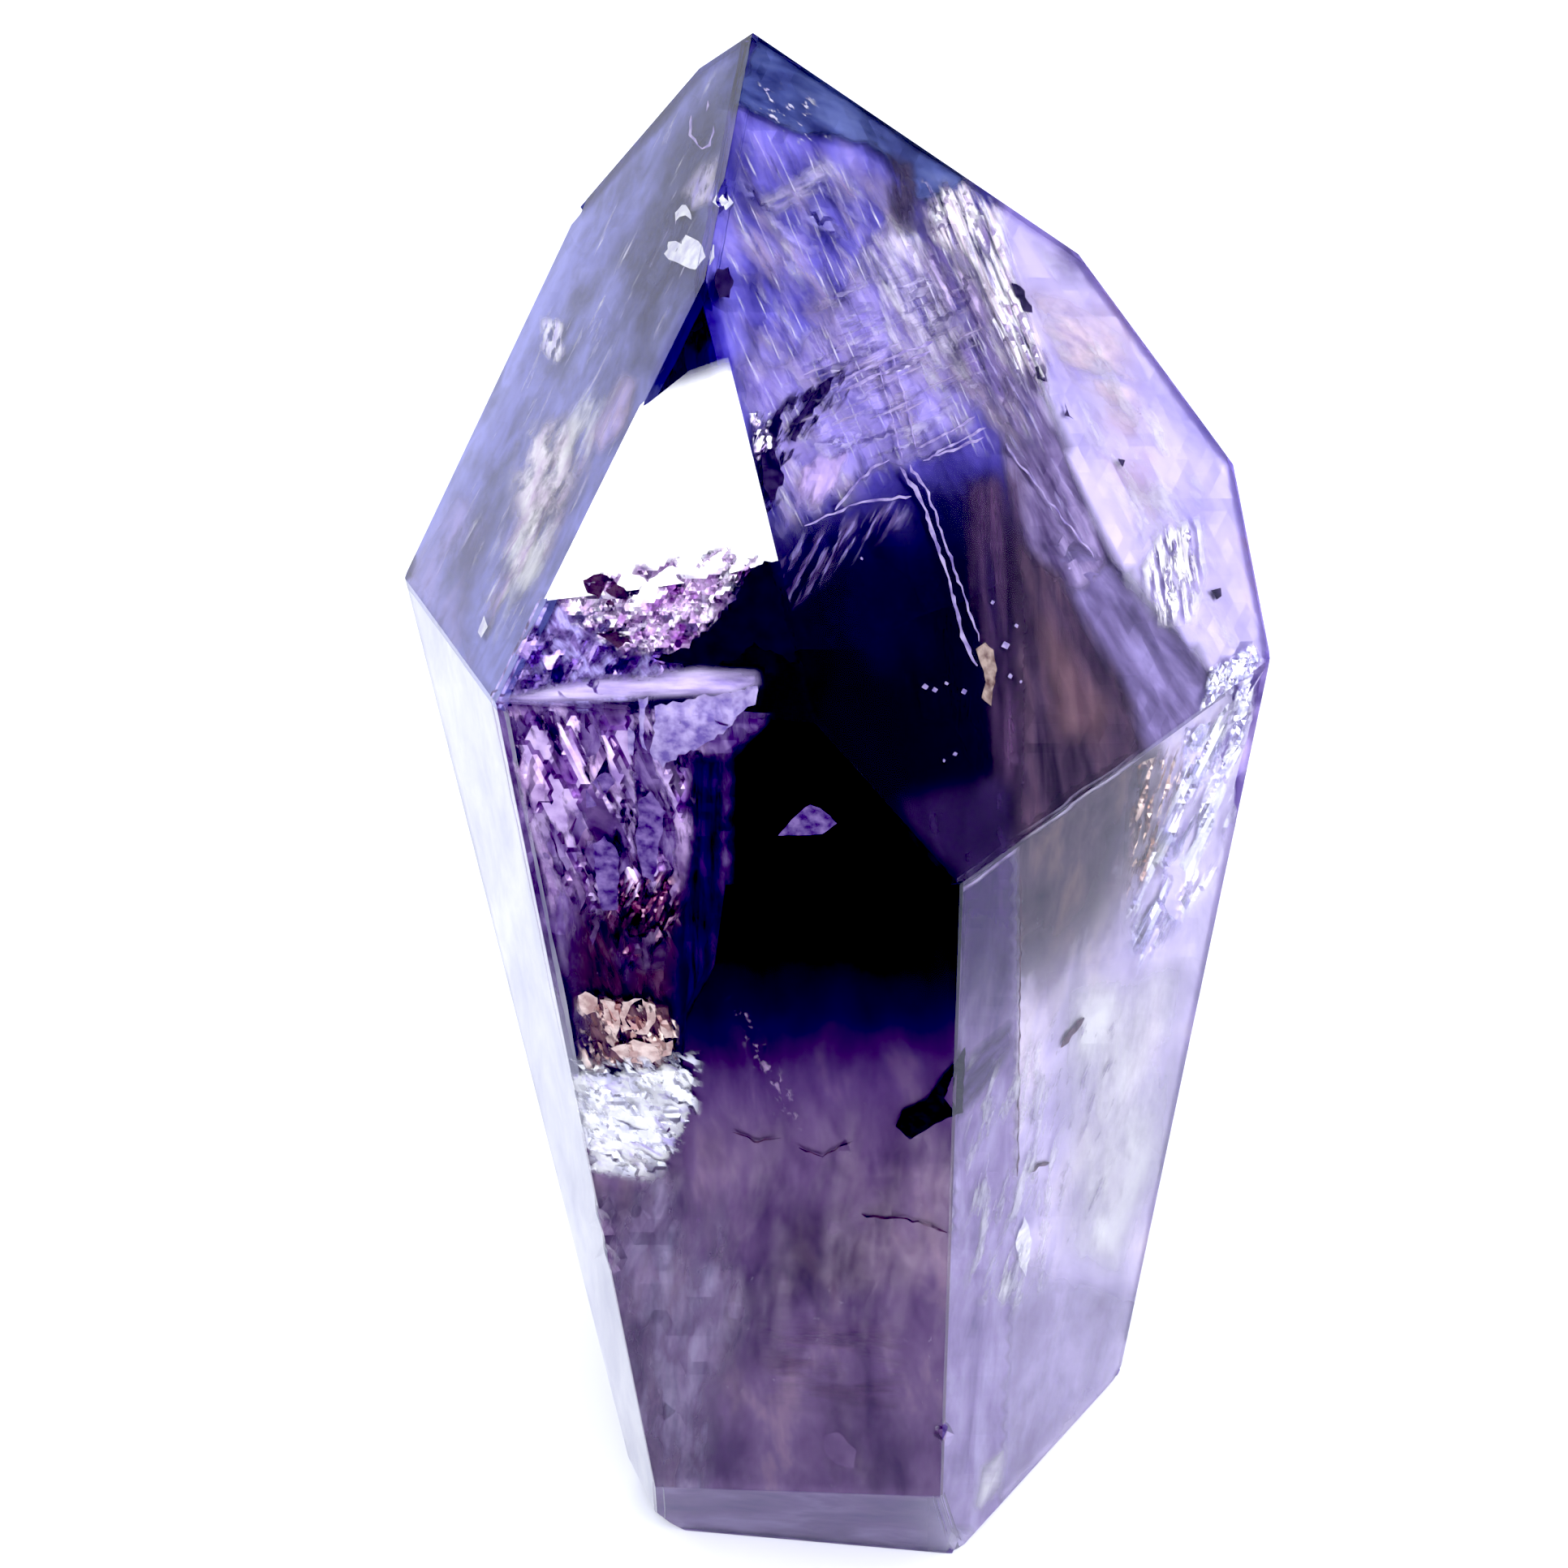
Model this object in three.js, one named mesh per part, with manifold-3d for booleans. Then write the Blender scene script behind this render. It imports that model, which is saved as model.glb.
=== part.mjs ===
// Phantom amethyst: one quartz crystal, ground and polished into a tower that stands on its cut base.
// Millimetres, +Z up. The origin is under the middle of the crystal, on the surface that it stands on.

import * as THREE from 'three';
import { mergeVertices } from 'three/addons/utils/BufferGeometryUtils.js';
import Module from 'manifold-3d';

const wasm = await Module();
wasm.setup();

// The tip's height over the base, and the block that the facets are ground from.
const HEIGHT = 100;
const BLOCK = 240;

// Each facet is a plane. Azimuth is the direction that it faces, in degrees from the front (-Y)
// towards the right (+X). Rise is the angle of its normal over the horizontal. Reach is its distance
// from the point of the base straight under the tip. A facet without a reach runs through the tip.
const PRISM = {
  front: { azimuth: -10, rise: -7.5, reach: 11.0 },
  left: { azimuth: -66.5, rise: -5.5, reach: 12.9 },
  right: { azimuth: 48.5, rise: -5, reach: 15.1 },
  backLeft: { azimuth: -124, rise: -5.1, reach: 8.7 },
  backRight: { azimuth: 110.75, rise: -4, reach: 24.45 },
  back: { azimuth: 174, rise: -4, reach: 17.5 },
};

const TIP = {
  left: { azimuth: -66.5, rise: 36 },
  right: { azimuth: 48.5, rise: 29 },
  back: { azimuth: 165.5, rise: 43 },
  front: { azimuth: -9, rise: 27.5, reach: 51.7 },
  backLeft: { azimuth: -148, rise: 38, reach: 63.3 },
  shoulder: { azimuth: -117.5, rise: 17.5, reach: 37.8 },
  backRight: { azimuth: 128.5, rise: 31.3, reach: 61.5 },
};

// The tall bevel under the front face, and the low ones round the rest of the base.
const FRONT_BEVEL = { azimuth: -8.5, rise: -19, reach: 8.8 };
const BEVEL_RISE = -40;
const BEVEL_HEIGHT = { left: 2.2, right: 0.5, backLeft: 1.6, backRight: 0.9, back: 1.4 };

// Small flat nicks on the base's corners: where each one is, which way it faces, how deep it goes.
const NICKS = [
  { at: [-10.7, -7.8, 0], azimuth: -40, rise: -28, depth: 0.7 },
  { at: [10.5, -11.0, 0], azimuth: 20, rise: -20, depth: 0.45 },
  { at: [24.4, 4.7, 0], azimuth: 80, rise: -30, depth: 0.6 },
  { at: [20.3, 15.5, 0], azimuth: 142, rise: -32, depth: 0.9 },
];

// Rough breaks. Each one is bitten out by an uneven ball: a point of the surface, the direction that
// the broken place faces, the ball's radius, how deep it bites, how rough it is, and a seed.
// The first four run into each other on the right corner.
const BREAKS = [
  { at: [29.2, 2.9, 55.4], azimuth: 84, rise: -4, radius: 12, depth: 0.75, rough: 0.42, seed: 11 },
  { at: [29.2, 2.2, 60.2], azimuth: 70, rise: 2, radius: 5, depth: 0.3, rough: 0.36, seed: 23 },
  { at: [27.9, 0.4, 62.75], azimuth: 50, rise: 12, radius: 6, depth: 0.6, rough: 0.45, seed: 37 },
  { at: [27.6, 0.4, 58.6], azimuth: 48.5, rise: -5, radius: 8, depth: 0.3, rough: 0.4, seed: 43 },
  { at: [-1.7, -6.9, 94.05], azimuth: -9, rise: 36, radius: 1.4, depth: 0.3, rough: 0.2, seed: 47 },
  { at: [8.9, -14.9, 16.9], azimuth: 19, rise: -6, radius: 1.2, depth: 0.28, rough: 0.18, seed: 53 },
  { at: [-11.7, -13.15, 31.5], azimuth: -38, rise: -6, radius: 2.2, depth: 0.3, rough: 0.2, seed: 67 },
  { at: [-11.85, -13.5, 34.8], azimuth: -38, rise: -6, radius: 1.6, depth: 0.25, rough: 0.2, seed: 71 },
  { at: [-9.8, 5.2, 90.5], azimuth: -105, rise: 32, radius: 2, depth: 0.35, rough: 0.2, seed: 83 },
  { at: [28.2, 9.1, 72.8], azimuth: 96, rise: 20, radius: 3, depth: 0.35, rough: 0.25, seed: 97 },
  { at: [-2.9, 23.3, 75.6], azimuth: -165, rise: 12, radius: 4, depth: 0.6, rough: 0.35, seed: 101 },
];
const BREAK_GRAIN = 0.75;

const AMETHYST = new THREE.MeshStandardMaterial({
  color: '#8f7cc4',
  roughness: 0.08,
  metalness: 0,
  transparent: true,
  opacity: 0.6,
});

// The outward normal of a facet.
function normalOf({ azimuth, rise }) {
  const a = THREE.MathUtils.degToRad(azimuth);
  const r = THREE.MathUtils.degToRad(rise);
  return new THREE.Vector3(Math.sin(a) * Math.cos(r), -Math.cos(a) * Math.cos(r), Math.sin(r));
}

// A closed geometry as a solid that can be cut.
function solidOf(geometry) {
  const bare = geometry.clone();
  bare.deleteAttribute('normal');
  bare.deleteAttribute('uv');
  const merged = mergeVertices(bare, 1e-4);
  return new wasm.Manifold(new wasm.Mesh({
    numProp: 3,
    vertProperties: new Float32Array(merged.attributes.position.array),
    triVerts: new Uint32Array(merged.index.array),
  }));
}

// A solid as a geometry, with flat faces.
function geometryOf(solid) {
  const mesh = solid.getMesh();
  const geometry = new THREE.BufferGeometry();
  geometry.setAttribute('position', new THREE.BufferAttribute(new Float32Array(mesh.vertProperties), 3));
  geometry.setIndex(new THREE.BufferAttribute(new Uint32Array(mesh.triVerts), 1));
  geometry.computeVertexNormals();
  return geometry;
}

// Grinds off all that lies beyond a plane, given by its normal and its distance from the origin.
function grind(stone, normal, distance) {
  const waste = new THREE.BoxGeometry(BLOCK * 2, BLOCK * 2, BLOCK);
  const turn = new THREE.Quaternion().setFromUnitVectors(new THREE.Vector3(0, 0, 1), normal);
  const middle = normal.clone().multiplyScalar(distance + BLOCK / 2);
  waste.applyMatrix4(new THREE.Matrix4().compose(middle, turn, new THREE.Vector3(1, 1, 1)));
  return stone.subtract(solidOf(waste));
}

function grindFacet(stone, facet) {
  const normal = normalOf(facet);
  return grind(stone, normal, facet.reach ?? normal.z * HEIGHT);
}

// A low bevel that starts on a prism face at the given height over the base.
function grindBevel(stone, face, height) {
  const wall = normalOf(face);
  const level = Math.hypot(wall.x, wall.y);
  const out = (face.reach - wall.z * height) / level;
  const edge = new THREE.Vector3((wall.x / level) * out, (wall.y / level) * out, height);
  const normal = normalOf({ azimuth: face.azimuth, rise: BEVEL_RISE });
  return grind(stone, normal, normal.dot(edge));
}

function grindNick(stone, { at, azimuth, rise, depth }) {
  const normal = normalOf({ azimuth, rise });
  return grind(stone, normal, normal.dot(new THREE.Vector3(...at)) - depth);
}

// A repeatable stream of numbers from 0 to 1.
function numbersFrom(seed) {
  let state = seed;
  return () => {
    state = (state * 1664525 + 1013904223) % 4294967296;
    return state / 4294967296;
  };
}

// An uneven ball: every corner of a fine icosahedron is pushed in or out a little.
function unevenBall({ at, azimuth, rise, radius, depth, rough, seed }) {
  const next = numbersFrom(seed);
  const ball = new THREE.IcosahedronGeometry(radius, Math.ceil(radius / BREAK_GRAIN));
  ball.deleteAttribute('normal');
  ball.deleteAttribute('uv');
  const merged = mergeVertices(ball, 1e-4);
  const middle = normalOf({ azimuth, rise }).multiplyScalar(radius - depth);
  middle.add(new THREE.Vector3(...at));
  const corner = new THREE.Vector3();
  const corners = merged.attributes.position;
  for (let i = 0; i < corners.count; i += 1) {
    corner.fromBufferAttribute(corners, i);
    corner.multiplyScalar(1 + ((next() - 0.5) * rough) / radius).add(middle);
    corners.setXYZ(i, corner.x, corner.y, corner.z);
  }
  return merged;
}

function buildCrystal() {
  let stone = solidOf(new THREE.BoxGeometry(BLOCK, BLOCK, BLOCK));
  stone = grind(stone, new THREE.Vector3(0, 0, -1), 0);
  for (const facet of [...Object.values(PRISM), ...Object.values(TIP), FRONT_BEVEL]) {
    stone = grindFacet(stone, facet);
  }
  for (const [name, height] of Object.entries(BEVEL_HEIGHT)) {
    stone = grindBevel(stone, PRISM[name], height);
  }
  for (const nick of NICKS) {
    stone = grindNick(stone, nick);
  }
  for (const bite of BREAKS) {
    stone = stone.subtract(solidOf(unevenBall(bite)));
  }
  return geometryOf(stone);
}

const crystal = new THREE.Mesh(buildCrystal(), AMETHYST);
crystal.name = 'crystal';

// The crystal leans away from the middle of its base, so it is moved to stand centred on the origin.
const middle = new THREE.Box3().setFromObject(crystal).getCenter(new THREE.Vector3());
crystal.position.set(-middle.x, -middle.y, 0);

const phantomAmethyst = new THREE.Group();
phantomAmethyst.add(crystal);

export default phantomAmethyst;
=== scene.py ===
"""Phantom amethyst: the looks of one polished quartz tower, in metres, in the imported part's own frame."""

import math
import random

import bmesh
import bpy
from mathutils import Matrix, Vector, noise
from mathutils.bvhtree import BVHTree
from mathutils.geometry import delaunay_2d_cdt, intersect_line_plane


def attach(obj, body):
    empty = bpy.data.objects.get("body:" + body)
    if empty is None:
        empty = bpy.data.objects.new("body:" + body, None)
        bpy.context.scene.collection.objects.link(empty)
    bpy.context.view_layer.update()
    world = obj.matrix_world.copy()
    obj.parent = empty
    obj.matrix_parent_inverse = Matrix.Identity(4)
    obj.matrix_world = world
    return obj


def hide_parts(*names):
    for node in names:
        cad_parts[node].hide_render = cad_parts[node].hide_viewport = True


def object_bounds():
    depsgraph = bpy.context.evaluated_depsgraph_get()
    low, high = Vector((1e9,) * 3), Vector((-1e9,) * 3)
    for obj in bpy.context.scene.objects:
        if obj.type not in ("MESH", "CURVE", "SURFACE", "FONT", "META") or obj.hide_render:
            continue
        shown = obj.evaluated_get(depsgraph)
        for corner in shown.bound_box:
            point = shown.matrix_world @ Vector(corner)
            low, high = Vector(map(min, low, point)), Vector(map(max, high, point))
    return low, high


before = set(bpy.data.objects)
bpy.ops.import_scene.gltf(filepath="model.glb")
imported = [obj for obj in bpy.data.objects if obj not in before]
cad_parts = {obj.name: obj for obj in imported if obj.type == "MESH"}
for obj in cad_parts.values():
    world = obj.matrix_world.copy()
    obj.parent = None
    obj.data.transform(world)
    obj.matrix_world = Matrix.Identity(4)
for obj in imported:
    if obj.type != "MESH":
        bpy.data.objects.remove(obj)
cad_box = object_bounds()

MM = 0.001
QUARTZ_IOR = 1.544
# The least area of a face that counts as one of the crystal's facets, in square metres.
LARGE_FACE = 4e-6

# The camera, fitted to the facet corners of the photograph. Places of things inside the crystal are
# given as points of that picture, in its pixels, and a depth in millimetres under a facet.
PHOTO_SIDE = 1932
FOCAL_PIXELS = 2427.3
CAMERA_PLACE = Vector((-4.52, -104.84, 116.51)) * MM
CAMERA_DOWN = 29.93
CAMERA_ROLL = -2.06
SENSOR = 36.0
# How wide one pixel of the picture is at the crystal, in mm.
PIXEL = 0.053

# The faces that the camera doesn't see, by the azimuth and elevation that they face. Places behind them
# are given in pixels of the same size, to the right and down from the face's middle, seen from outside.
FAR_FACETS = {
    "far_left": (-124.0, -5.1),
    "far_back": (174.0, -4.0),
    "far_right": (110.75, -4.0),
    "tip_back": (165.5, 43.0),
    "tip_far_left": (-148.0, 38.0),
    "shoulder_left": (-117.5, 17.5),
    "tip_far_right": (128.5, 31.3),
}

# A picture point inside each facet that the camera sees.
FACET_SEEDS = {
    "front": (1000, 1300),
    "left": (560, 900),
    "right": (1300, 1400),
    "tip_left": (700, 520),
    "tip_right": (1200, 500),
    "tip_front": (850, 600),
    "bevel": (1000, 1865),
}

scene = bpy.context.scene
# The noise that bends the flakes differs from run to run unless it has a seed.
NOISE_SEED = 1
noise.seed_set(NOISE_SEED)


# Camera and the paths of sight behind the facets


def camera_axes():
    down = math.radians(CAMERA_DOWN)
    roll = math.radians(CAMERA_ROLL)
    ahead = Vector((0, math.cos(down), -math.sin(down)))
    level = Vector((1, 0, 0))
    upright = level.cross(ahead)
    right = level * math.cos(roll) + upright * math.sin(roll)
    up = upright * math.cos(roll) - level * math.sin(roll)
    return right, up, ahead


RIGHT, UP, AHEAD = camera_axes()


def add_camera():
    data = bpy.data.cameras.new("camera")
    data.sensor_width = SENSOR
    data.lens = FOCAL_PIXELS / PHOTO_SIDE * SENSOR
    data.clip_start = 0.005
    camera = bpy.data.objects.new("camera", data)
    scene.collection.objects.link(camera)
    turn = Matrix((RIGHT, UP, -AHEAD)).transposed().to_4x4()
    camera.matrix_world = Matrix.Translation(CAMERA_PLACE) @ turn
    scene.camera = camera


def pixel_ray(x, y):
    """The direction in which the camera sees a point of the picture."""
    middle = PHOTO_SIDE / 2
    ray = AHEAD * FOCAL_PIXELS + RIGHT * (x - middle) - UP * (y - middle)
    return ray.normalized()


def bent(ray, normal, ratio):
    """A ray after it passes a surface, by Snell's law."""
    cosine = -normal.dot(ray)
    square = 1 - ratio * ratio * (1 - cosine * cosine)
    return (ray * ratio + normal * (ratio * cosine - math.sqrt(square))).normalized()


def find_facets(tree):
    facets = {}
    for name, (x, y) in FACET_SEEDS.items():
        place, normal, _, _ = tree.ray_cast(CAMERA_PLACE, pixel_ray(x, y))
        facets[name] = (place, normal)
    return facets


def is_parallel(normal, other):
    return normal.dot(other) > 0.9999


def large_faces(mesh):
    """The planes of the crystal's flat faces, as normal and distance."""
    planes = []
    for face in mesh.polygons:
        distance = face.normal.dot(face.center)
        known = any(is_parallel(face.normal, n) and abs(distance - d) < 0.05 * MM for n, d in planes)
        if face.area > LARGE_FACE and not known:
            planes.append((face.normal.copy(), distance))
    return planes


crystal_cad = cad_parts["crystal"]
crystal_tree = BVHTree.FromPolygons(
    [v.co for v in crystal_cad.data.vertices],
    [p.vertices for p in crystal_cad.data.polygons],
)
FACETS = find_facets(crystal_tree)
FACES = large_faces(crystal_cad.data)
# How far inside the crystal's faces the pieces are cut, how far inside they still are after their last
# move, and the least depth of a point where the quartz is too thin.
SKIN = 0.05 * MM
THIN_SKIN = 0.01 * MM
LEAST_ROOM = 0.03 * MM
CUT_TOLERANCE = 1e-8


def box_planes(low, high):
    """The planes of the crystal's box, as normal and distance."""
    planes = []
    for axis in range(3):
        normal = Vector((0, 0, 0))
        normal[axis] = 1
        planes += [(normal, high[axis]), (-normal, -low[axis])]
    return planes


# Nothing inside the crystal passes its faces or its box. Where a corner is chipped, the faces alone
# would reach past the box.
LIMITS = FACES + box_planes(*cad_box)


def pushed_in(point, planes, skin):
    """A point moved straight inward until it is behind all planes."""
    for normal, distance in planes:
        beyond = normal.dot(point) - distance + skin
        if beyond > 0:
            point = point - normal * beyond
    return point


def cut_by_plane(corners, normal, distance):
    """The part of a flat outline that lies on the inner side of a plane."""
    kept = []
    for i, corner in enumerate(corners):
        before = corners[i - 1]
        out_here = normal.dot(corner) - distance
        out_before = normal.dot(before) - distance
        if (out_here > 0) != (out_before > 0):
            kept.append(before.lerp(corner, out_before / (out_before - out_here)))
        if out_here <= 0:
            kept.append(corner)
    return kept


def face_corners(place, normal):
    """The corners of a whole face, as if it had no chips."""
    side = normal.orthogonal().normalized() * 0.1
    other = normal.cross(side)
    corners = [place + side + other, place - side + other, place - side - other, place + side - other]
    for plane_normal, distance in FACES:
        if not is_parallel(plane_normal, normal):
            corners = cut_by_plane(corners, plane_normal, distance)
    return corners


def find_far_facet(azimuth, elevation):
    """A far face's middle, normal, rightward axis and upward axis."""
    turn = math.radians(azimuth)
    rise = math.radians(elevation)
    facing = Vector((math.sin(turn) * math.cos(rise), -math.cos(turn) * math.cos(rise), math.sin(rise)))
    normal, distance = max(FACES, key=lambda face: face[0].dot(facing))
    corners = face_corners(normal * distance, normal)
    middle = sum(corners, Vector()) / len(corners)
    right = Vector((0, 0, 1)).cross(normal).normalized()
    return middle, normal, right, normal.cross(right)


# How near, in mm, other facets' sheets come to the back of each facet that the camera sees.
CLEARANCES = {
    "tip_front": 0.62,
    "front": 0.8,
    "tip_right": 1.0,
    "bevel": 0.6,
    "tip_left": 1.0,
    "right": 1.0,
    "left": 0.8,
}
# The same for the sheets of the far faces, where they fold and where they end.
FAR_FOLD = 1.45
FAR_END = 1.1
# Sheets end behind facets that face less than this share of their own way.
LEAST_FACING = 0.3


def kept_planes(facet):
    """The planes behind which a facet's sheets stay, those of the facets that face the camera more, and
    whether the sheets end there. The sheets of a far face fold there where they can."""
    planes = []
    for other, (place, normal) in FACETS.items():
        limit = normal.dot(place)
        if facet in FAR_AXES:
            is_end = normal.dot(FAR_AXES[facet][1]) < LEAST_FACING
            planes.append((normal, limit - (FAR_END if is_end else FAR_FOLD) * MM, is_end))
        elif other != facet and normal.dot(AHEAD) < FACETS[facet][1].dot(AHEAD):
            planes.append((normal, limit - CLEARANCES[other] * MM, True))
    return planes


def move_behind(point, planes, inward):
    """Moves a point of a far face's sheet inward until it is behind the planes where the sheet folds."""
    for normal, limit, is_end in planes:
        beyond = normal.dot(point) - limit
        if beyond > 0 and not is_end:
            point = point - inward * (beyond / normal.dot(inward))
    return point


FAR_AXES = {facet: find_far_facet(*facing) for facet, facing in FAR_FACETS.items()}


def pictured(point):
    """The place of a point in the picture."""
    seen = point - CAMERA_PLACE
    scale = FOCAL_PIXELS / seen.dot(AHEAD)
    return PHOTO_SIDE / 2 + seen.dot(RIGHT) * scale, PHOTO_SIDE / 2 - seen.dot(UP) * scale


def facet_window(facet):
    """The outline of a whole facet in the picture or, for a far face, in pixels from its middle."""
    if facet not in FAR_AXES:
        return [pictured(corner) for corner in face_corners(*FACETS[facet])]
    middle, normal, right, up = FAR_AXES[facet]
    corners = [(corner - middle) / (PIXEL * MM) for corner in face_corners(middle, normal)]
    return [(corner.dot(right), -corner.dot(up)) for corner in corners]


WINDOWS = {facet: facet_window(facet) for facet in [*FACETS, *FAR_FACETS]}


def clipped(outline, facet):
    """The part of an outline of the picture that lies on a facet."""
    window = WINDOWS[facet]
    middle_x = sum(x for x, _ in window) / len(window)
    middle_y = sum(y for _, y in window) / len(window)
    kept = list(outline)
    for i, (bx, by) in enumerate(window):
        ax, ay = window[i - 1]
        nx, ny = by - ay, ax - bx
        if nx * (middle_x - ax) + ny * (middle_y - ay) > 0:
            nx, ny = -nx, -ny
        limit = nx * ax + ny * ay
        result = []
        for k, (x, y) in enumerate(kept):
            px, py = kept[k - 1]
            out_here = nx * x + ny * y - limit
            out_before = nx * px + ny * py - limit
            if (out_here > 0) != (out_before > 0):
                share = out_before / (out_before - out_here)
                result.append((px + (x - px) * share, py + (y - py) * share))
            if out_here <= 0:
                result.append((x, y))
        kept = result
    tidy = []
    for point in kept:
        if not tidy or math.dist(point, tidy[-1]) > 0.5:
            tidy.append(point)
    return tidy


def sight(facet, x, y):
    """Where the line of sight through a point enters behind a facet, and its way on from there."""
    if facet in FAR_AXES:
        middle, normal, right, up = FAR_AXES[facet]
        entry = middle + (right * x - up * y) * PIXEL * MM
        hit = crystal_tree.ray_cast(entry + normal * MM, -normal)[0]
        if hit and (entry - hit).dot(normal) > 0:
            entry = hit
        return entry, -normal
    place, normal = FACETS[facet]
    ray = pixel_ray(x, y)
    entry = intersect_line_plane(CAMERA_PLACE, CAMERA_PLACE + ray, place, normal)
    hit = crystal_tree.ray_cast(CAMERA_PLACE, ray)[0]
    if hit and (hit - CAMERA_PLACE).length > (entry - CAMERA_PLACE).length:
        entry = hit
    return entry, bent(ray, normal, 1 / QUARTZ_IOR)


def under(facet, x, y, depth):
    """The point a depth in mm behind a facet's point, kept within the crystal."""
    entry, ahead = sight(facet, x, y)
    room = depth * MM
    for plane_normal, distance in FACES:
        slope = plane_normal.dot(ahead)
        if slope > 1e-6:
            room = min(room, (distance - SKIN - plane_normal.dot(entry)) / slope)
    return entry + ahead * max(room, LEAST_ROOM)


def cut_shape(shape, normal, limit, is_end):
    """Cuts a shape along a plane and, if it ends there, drops what lies beyond. Gives the cut's edges."""
    if not any(normal.dot(vert.co) > limit for vert in shape.verts):
        return []
    cut = bmesh.ops.bisect_plane(
        shape, geom=shape.verts[:] + shape.edges[:] + shape.faces[:], dist=CUT_TOLERANCE,
        plane_co=normal * limit, plane_no=normal, clear_outer=is_end,
    )
    return [part for part in cut["geom_cut"] if isinstance(part, bmesh.types.BMEdge)]


def laid(facet, flat, triangles, depths, cover):
    """A sheet behind a facet, folded along straight lines where it meets the crystal's other faces.
    Gives its points, triangles, picture points and covers."""
    shape = bmesh.new()
    across = shape.verts.layers.float.new("across")
    down = shape.verts.layers.float.new("down")
    deep = shape.verts.layers.float.new("deep")
    shown = shape.verts.layers.float.new("shown")
    for (x, y), depth, share in zip(flat, depths, cover):
        entry, ahead = sight(facet, x, y)
        vert = shape.verts.new(entry + ahead * depth * MM)
        vert[across], vert[down], vert[deep], vert[shown] = x, y, depth, share
    shape.verts.ensure_lookup_table()
    for corners in triangles:
        shape.faces.new([shape.verts[i] for i in corners])
    ends = kept_planes(facet)
    skins = [(normal, distance - SKIN, False) for normal, distance in FACES]
    for normal, limit, is_end in ends + skins:
        cut_shape(shape, normal, limit, is_end)
    for vert in shape.verts:
        if any(normal.dot(vert.co) > distance - SKIN * 0.99 for normal, distance in FACES):
            vert.co = under(facet, vert[across], vert[down], vert[deep])
        vert.co = move_behind(vert.co, ends, ahead)
        vert.co = pushed_in(vert.co, LIMITS, THIN_SKIN)
    shape.verts.index_update()
    points = [vert.co.copy() for vert in shape.verts]
    pictures = [(vert[across], vert[down]) for vert in shape.verts]
    covers = [vert[shown] for vert in shape.verts]
    faces = [tuple(vert.index for vert in face.verts) for face in shape.faces]
    shape.free()
    return points, faces, pictures, covers


# Small helpers


def smooth(share):
    share = min(max(share, 0.0), 1.0)
    return share * share * (3 - 2 * share)


def edge_distance(x, y, outline):
    """How far a point of the picture is from an outline, in pixels."""
    nearest = 1e9
    for i, (ax, ay) in enumerate(outline):
        bx, by = outline[i - 1]
        dx, dy = bx - ax, by - ay
        along = ((x - ax) * dx + (y - ay) * dy) / (dx * dx + dy * dy)
        along = min(max(along, 0.0), 1.0)
        nearest = min(nearest, math.hypot(ax + dx * along - x, ay + dy * along - y))
    return nearest


def is_within(x, y, outline):
    inside = False
    for i, (ax, ay) in enumerate(outline):
        bx, by = outline[i - 1]
        if (ay > y) != (by > y) and x < (bx - ax) * (y - ay) / (by - ay) + ax:
            inside = not inside
    return inside


def faded(x, y, fades):
    """The share from 0 to 1 left by fades, each from the point of none to the point of all."""
    share = 1.0
    for (ax, ay), (bx, by) in fades:
        dx, dy = bx - ax, by - ay
        share *= smooth(((x - ax) * dx + (y - ay) * dy) / (dx * dx + dy * dy))
    return share


def unevenness(x, y, size, seed):
    """Smooth noise over the picture, from about -1 to 1."""
    return noise.fractal(Vector((x / size, y / size, seed * 3.7)), 0.7, 2.0, 4)


def divided(start, end, step):
    """Points along a line, about a step apart, without its end."""
    (ax, ay), (bx, by) = start, end
    parts = max(1, round(math.hypot(bx - ax, by - ay) / step))
    return [(ax + (bx - ax) * k / parts, ay + (by - ay) * k / parts) for k in range(parts)]


def closed_faces(triangles, count):
    """The faces of a closed piece, whose back has the same points as its front, count places later."""
    edges = {edge: True for a, b, c in triangles for edge in ((a, b), (b, c), (c, a))}
    faces = [(a, c, b) for a, b, c in triangles]
    faces += [(a + count, b + count, c + count) for a, b, c in triangles]
    faces += [(a, b, b + count, a + count) for a, b in edges if (b, a) not in edges]
    return faces


def meshed_outline(outline, step):
    """Points and triangles that fill an outline with a grid of the given step."""
    xs = [p[0] for p in outline]
    ys = [p[1] for p in outline]
    points = []
    for i, start in enumerate(outline):
        points += [Vector(point) for point in divided(start, outline[(i + 1) % len(outline)], step)]
    rim = len(points)
    edges = [(i, (i + 1) % rim) for i in range(rim)]
    rows = int((max(ys) - min(ys)) / step) + 1
    columns = int((max(xs) - min(xs)) / step) + 1
    for row in range(rows):
        for column in range(columns):
            x = min(xs) + (column + 0.5 * (row % 2)) * step
            y = min(ys) + row * step
            if is_within(x, y, outline) and edge_distance(x, y, outline) > step * 0.4:
                points.append(Vector((x, y)))
    found = delaunay_2d_cdt(points, edges, [], 1, 1e-4)
    return [tuple(p) for p in found[0]], [tuple(f) for f in found[2]]


def add_piece(name, points, faces, material, uvs=None, cover=None):
    """One mesh of the object that rides with the crystal."""
    mesh = bpy.data.meshes.new(name)
    mesh.from_pydata(points, [], faces)
    mesh.materials.append(material)
    if uvs:
        layer = mesh.uv_layers.new(name="UVMap")
        for loop in mesh.loops:
            layer.data[loop.index].uv = uvs[loop.vertex_index]
    if cover:
        attribute = mesh.attributes.new("cover", "FLOAT", "POINT")
        attribute.data.foreach_set("value", cover)
    mesh.validate()
    piece = bpy.data.objects.new(name, mesh)
    scene.collection.objects.link(piece)
    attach(piece, "root")
    return piece


# Materials

NOISE_DETAIL = 6
# How many pixels of the picture one unit of the sheets' UV map is.
UV_PIXELS = 100


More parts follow.
